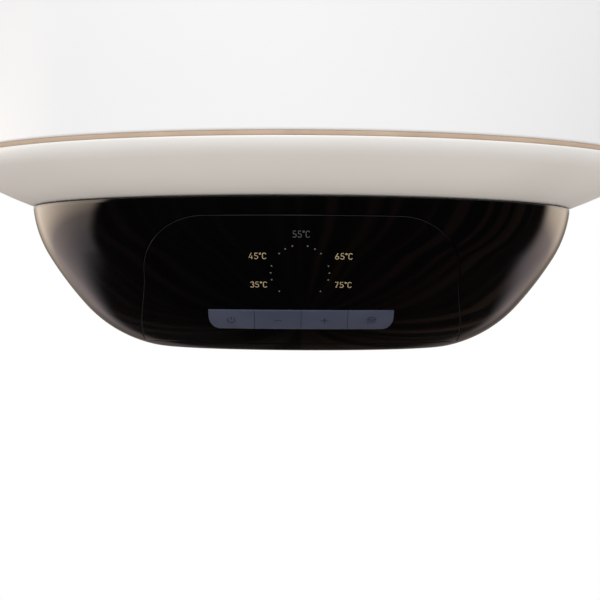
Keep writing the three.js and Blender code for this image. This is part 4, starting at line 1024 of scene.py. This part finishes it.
def add_pipes():
    depth, flange_radius, neck = 0.75, 21, 16
    for side, water, slot in ((1, "inlet", "blue_plastic"), (-1, "outlet", "red_plastic")):
        low, high = (corner.z for corner in span_of(f"{water}_nipple"))
        at = moved(side * PIPE_X, PIPE_BACK, 0)
        root = PIPE_RADIUS - depth
        ridges = thread(PIPE_RADIUS, low + 1.5, low + 15, depth=depth)
        end = ridges[-3][1] + PITCH
        profile = [(PIPE_BORE, low + 0.3), (PIPE_BORE + 0.3, low), (root - 0.3, low), (root, low + 0.3)]
        profile += [(PIPE_RADIUS - depth / 2, low + 0.9), *ridges, (root, end)]
        profile += [(PIPE_RADIUS, end + 0.8), (PIPE_RADIUS, high), (PIPE_BORE, high)]
        mesh_piece(f"{water}_pipe", lathe(profile, 64, matrix=at), "zinc_steel", f"{water}_nipple")
        flange, seat, inner = LID_FLAT_Z - 4.5, LID_FLAT_Z - 0.3, PIPE_RADIUS + 0.4
        ring = [(inner, flange, 0.6), (flange_radius, flange, 1.8), (flange_radius, seat, 0.3)]
        ring += [(neck, seat, 0), (neck, LID_FLAT_Z + 5, 0.5), (inner, LID_FLAT_Z + 5, 0.5)]
        mesh_piece(f"{water}_ring", lathe(rounded(ring, 5), 96, matrix=at), slot, f"{water}_collar")


def add_valve():
    at = moved(PIPE_X, PIPE_BACK, VALVE_Z)
    drain = moved(DRAIN_X, 0, 0)
    barbs = [(5.5, -25.5), (4.7, -24.8), (5.5, -22), (4.7, -21.3), (5.5, -18.5), (5.5, -6)]
    body = rod(13.5, -12, 30, soft=1.5, sides=64)
    for tool in (
        prism(hexagon(16.2, 1.2), 21, 30, 0.8),
        lathe([(0, -30), (9.4, -30), *thread(10.5, -29.6, -17), (9.7, -15), (12.5, -10), (0, -10)], 64),
        rod(12, 0, 32, soft=0.8, sides=64, matrix=ALONG_X),
        lathe([(0, -28), (4.9, -28), *barbs, (0, -6)], 40, matrix=drain),
    ):
        body = boolean(body, tool, "UNION")
    for tool in (
        rod(PIPE_RADIUS + 0.3, 15.7, 40, soft=0, sides=64), rod(7, -40, 17, soft=0, sides=64),
        rod(4, 0, 20, soft=0, sides=32, matrix=ALONG_X), rod(9, 14, 40, soft=0, sides=48, matrix=ALONG_X),
        rod(3.5, -40, -2, soft=0, sides=32, matrix=drain),
    ):
        body = boolean(body, tool)
    body.transform(at)
    mesh_piece("valve_casting", body, "nickel_plate", "valve_body", sharp=30)

    bonnet = rod(12, 32.3, 50, soft=1.6, sides=96, matrix=ALONG_X)
    for k in range(16):
        turn = Matrix.Rotation(2 * pi * k / 16, 4, "X") @ moved(0, 0, 12.2)
        bonnet = boolean(bonnet, rod(1.1, 35, 60, soft=0, sides=16, matrix=turn @ ALONG_X))
    bonnet = boolean(bonnet, rod(2.7, 20, 60, soft=0, sides=32, matrix=ALONG_X))
    bonnet.transform(at)
    mesh_piece("valve_cap", bonnet, "black_plastic", "valve_bonnet", sharp=30)

    spindle = rod(2.3, 16, 60, soft=0.5, sides=40, matrix=ALONG_X)
    rod(5.8, 14.3, 17.5, soft=0.4, sides=48, bm=spindle, matrix=ALONG_X)
    spindle.transform(at)
    mesh_piece("valve_spindle", spindle, "brass", "relief_spindle", "spindle")
    pin = rod(1.2, -6.2, 6.2, soft=0.3, sides=24, matrix=moved(LEVER_PIVOT, 0, 0) @ ALONG_Y)
    pin.transform(at)
    mesh_piece("valve_lever_pin", pin, "stainless", "lever_pin", "spindle")

    lever = lever_solid()
    lever.transform(at)
    mesh_piece("valve_lever", lever, "red_plastic", "relief_lever", "lever", sharp=30)


def lever_solid():
    """A lever of two rounded cheeks on a bridge that runs down into a ribbed tab."""
    x = LEVER_PIVOT
    cheek = rounded([(x - 4.5, -7, 0.5), (x + 4.5, -7, 0.5), (x + 4.5, 6, 4), (x - 4.5, 6, 1.2)], 6)
    tab = rounded([(x - 2, -30, 1.2), (x + 2, -30, 1.2), (x + 2, -9, 0), (x - 2, -9, 0)], 5)
    lever = prism(cheek, 3, 5.5, 0.4, matrix=UPRIGHT)
    added = [prism(cheek, -5.5, -3, 0.4, matrix=UPRIGHT),
             block((x - 4.5, -5.5, -10), (x + 4.5, 5.5, -6.2), 0.4, 0.8),
             prism(tab, -5.5, 5.5, 0.6, matrix=UPRIGHT)]
    for z in (-27, -24, -21, -18):
        added.append(block((x - 2.6, -4.2, z), (x + 2.6, 4.2, z + 1.1), 0.3, 0.4))
    for piece in added:
        lever = boolean(lever, piece, "UNION")
    return boolean(lever, rod(1.35, -10, 10, soft=0, sides=24, matrix=moved(x, 0, 0) @ ALONG_Y))


# ---- bracket, spacer, gland and screws
def add_bracket():
    low, high = span_of("wall_bracket")
    thick, half, foot = 3, 95, 16
    inner = JACKET_RADIUS + 0.6
    normal = Vector((sin(BRACKET_ANGLE), cos(BRACKET_ANGLE)))
    along = Vector((cos(BRACKET_ANGLE), -sin(BRACKET_ANGLE)))

    def corner(depth, reach):
        return normal * depth + along * reach

    wall = high.y
    inside_right = [(half, wall - thick, 3), (*corner(inner, -foot), 5), (*corner(inner, foot), 0.8)]
    outer = inner + thick
    outside_right = [(*corner(outer, foot), 0.8), (*corner(outer, -foot), 2), (half, wall, 6)]
    outline = [(-x, y, r) for x, y, r in reversed(inside_right)] + inside_right + outside_right
    outline += [(-x, y, r) for x, y, r in reversed(outside_right)]
    strap = prism(rounded(outline, 6), low.z, high.z, 0.4)
    middle = (low.z + high.z) / 2
    seat = outer + 0.3
    for side in (-1, 1):
        x = side * 65
        ends = [(x - 6, middle - 12), (x + 6, middle - 12), (x + 6, middle + 12), (x - 6, middle + 12)]
        slot = rounded([(*end, 5.5) for end in ends], 8)
        strap = boolean(strap, prism(slot, -wall - 10, -wall + 20, 0, matrix=UPRIGHT))
        strap = boolean(strap, rod(5.3, 200, 260, soft=0, matrix=towards_stud(side, middle)))
    mesh_piece("bracket_strap", strap, "zinc_steel", "wall_bracket", sharp=30)

    head, tip = 195.3, inner + 14
    stud_line = [(0, head), (8, head), (8, inner - 0.6), (4.6, inner)]
    stud_line += thread(5, inner + 0.5, inner + 13, 1.5, 0.5) + [(4.2, tip), (0, tip)]
    for side, word in ((-1, "left"), (1, "right")):
        turn = towards_stud(side, middle)
        stud = lathe(stud_line, 48, matrix=turn)
        mesh_piece(f"stud_{word}", stud, "zinc_steel", f"bracket_stud_{word}")
        nut = prism(hexagon(9.8, 0.6), seat, seat + 8, 0.8, matrix=turn)
        nut = boolean(nut, rod(5.2, seat - 5, seat + 15, soft=0, matrix=turn))
        mesh_piece(f"nut_{word}", nut, "zinc_steel", f"bracket_nut_{word}", sharp=30)

    pad_low, pad_high = span_of("wall_spacer")
    pad = block((pad_low.x, pad_low.y - 8, pad_low.z), (pad_high.x, pad_high.y, pad_high.z), 1.5, 5)
    pad = boolean(pad, rod(JACKET_RADIUS + 0.3, pad_low.z - 10, pad_high.z + 10, soft=0, sides=256))
    for k in range(3):
        z = pad_low.z + 9 + 9.5 * k
        pad = boolean(pad, block((-28, pad_high.y - 3, z), (28, pad_high.y + 5, z + 3), 0, 1))
    mesh_piece("spacer_pad", pad, "black_plastic", "wall_spacer", sharp=30)


def add_gland():
    at = moved(0, COVER_BACK, GLAND_Z, ALONG_Y)
    gland = prism(hexagon(14, 1), 0.3, 6, 0.7, matrix=at)
    gland = boolean(gland, rod(9.6, -6, 2, soft=0.4, matrix=at), "UNION")
    dome = rounded([(0, 5, 0), (11, 5, 0), (11, 14, 2), (9, 20, 2), (0, 20, 0)], 6)
    gland = boolean(gland, lathe(dome, 64, matrix=at), "UNION")
    for k in range(12):
        turn = Matrix.Rotation(2 * pi * k / 12, 4, "Z") @ moved(11.3, 0, 0)
        gland = boolean(gland, rod(0.9, 6.6, 18, soft=0, sides=16, matrix=at @ turn))
    gland = boolean(gland, rod(4.5, -12, 30, soft=0, matrix=at))
    mesh_piece("gland_dome", gland, "black_plastic", "cable_gland", sharp=30)


def add_cover_screws():
    top = COVER_TOP - 3.3
    round_head = [(4 * sin(a), top - 2.3 * cos(a) ** 0.8) for a in evenly(0.2, 1.5, 8)]
    profile = [(0, top - 2.3), *round_head, (4, top), (2, top), (2, COVER_TOP + 8), (0, COVER_TOP + 9)]
    for side, word in ((-1, "left"), (1, "right")):
        at = moved(side * EAR_X, EAR_Y, 0)
        screw = lathe(profile, 40, matrix=at)
        for angle in (0, pi / 2):
            turn = at @ Matrix.Rotation(angle, 4, "Z")
            bar = block((-2.2, -0.45, top - 4), (2.2, 0.45, top - 1.1), 0, 0.1, matrix=turn)
            screw = boolean(screw, bar)
        mesh_piece(f"screw_{word}", screw, "zinc_steel", f"cover_screw_{word}", sharp=30)


# ---- CAD pieces that stay as they are
def finish_cad_pieces():
    slots = {part["node"]: part["material_slot"] for part in frame["record"]["subparts"]}
    for name, node in frame["nodes"].items():
        node.data.materials.clear()
        node.data.materials.append(material_named(slots[name]))


add_camera()
add_world()
add_floor()
add_area("key_light", (1.8, 1.3), 9, (1.0, 0.98, 0.95), (-0.5, -2.4, 0.7), (0, -0.2, -0.3))
add_area("fill_light", (0.9, 0.5), 2.5, (0.86, 0.93, 1.0), (0, -2.1, -1.15), (0, -0.3, -0.62), False)
add_area("glint_light", (0.25, 0.6), 1.2, (0.92, 0.96, 1.0), (-0.05, -1.6, 0.2), (0, -0.3, -0.6))
finish_cad_pieces()
add_jacket()
add_seals()
add_lids()
add_cover()
add_fascia()
add_dots()
add_keys()
add_prints()
add_symbols()
add_pipes()
add_valve()
add_bracket()
add_gland()
add_cover_screws()
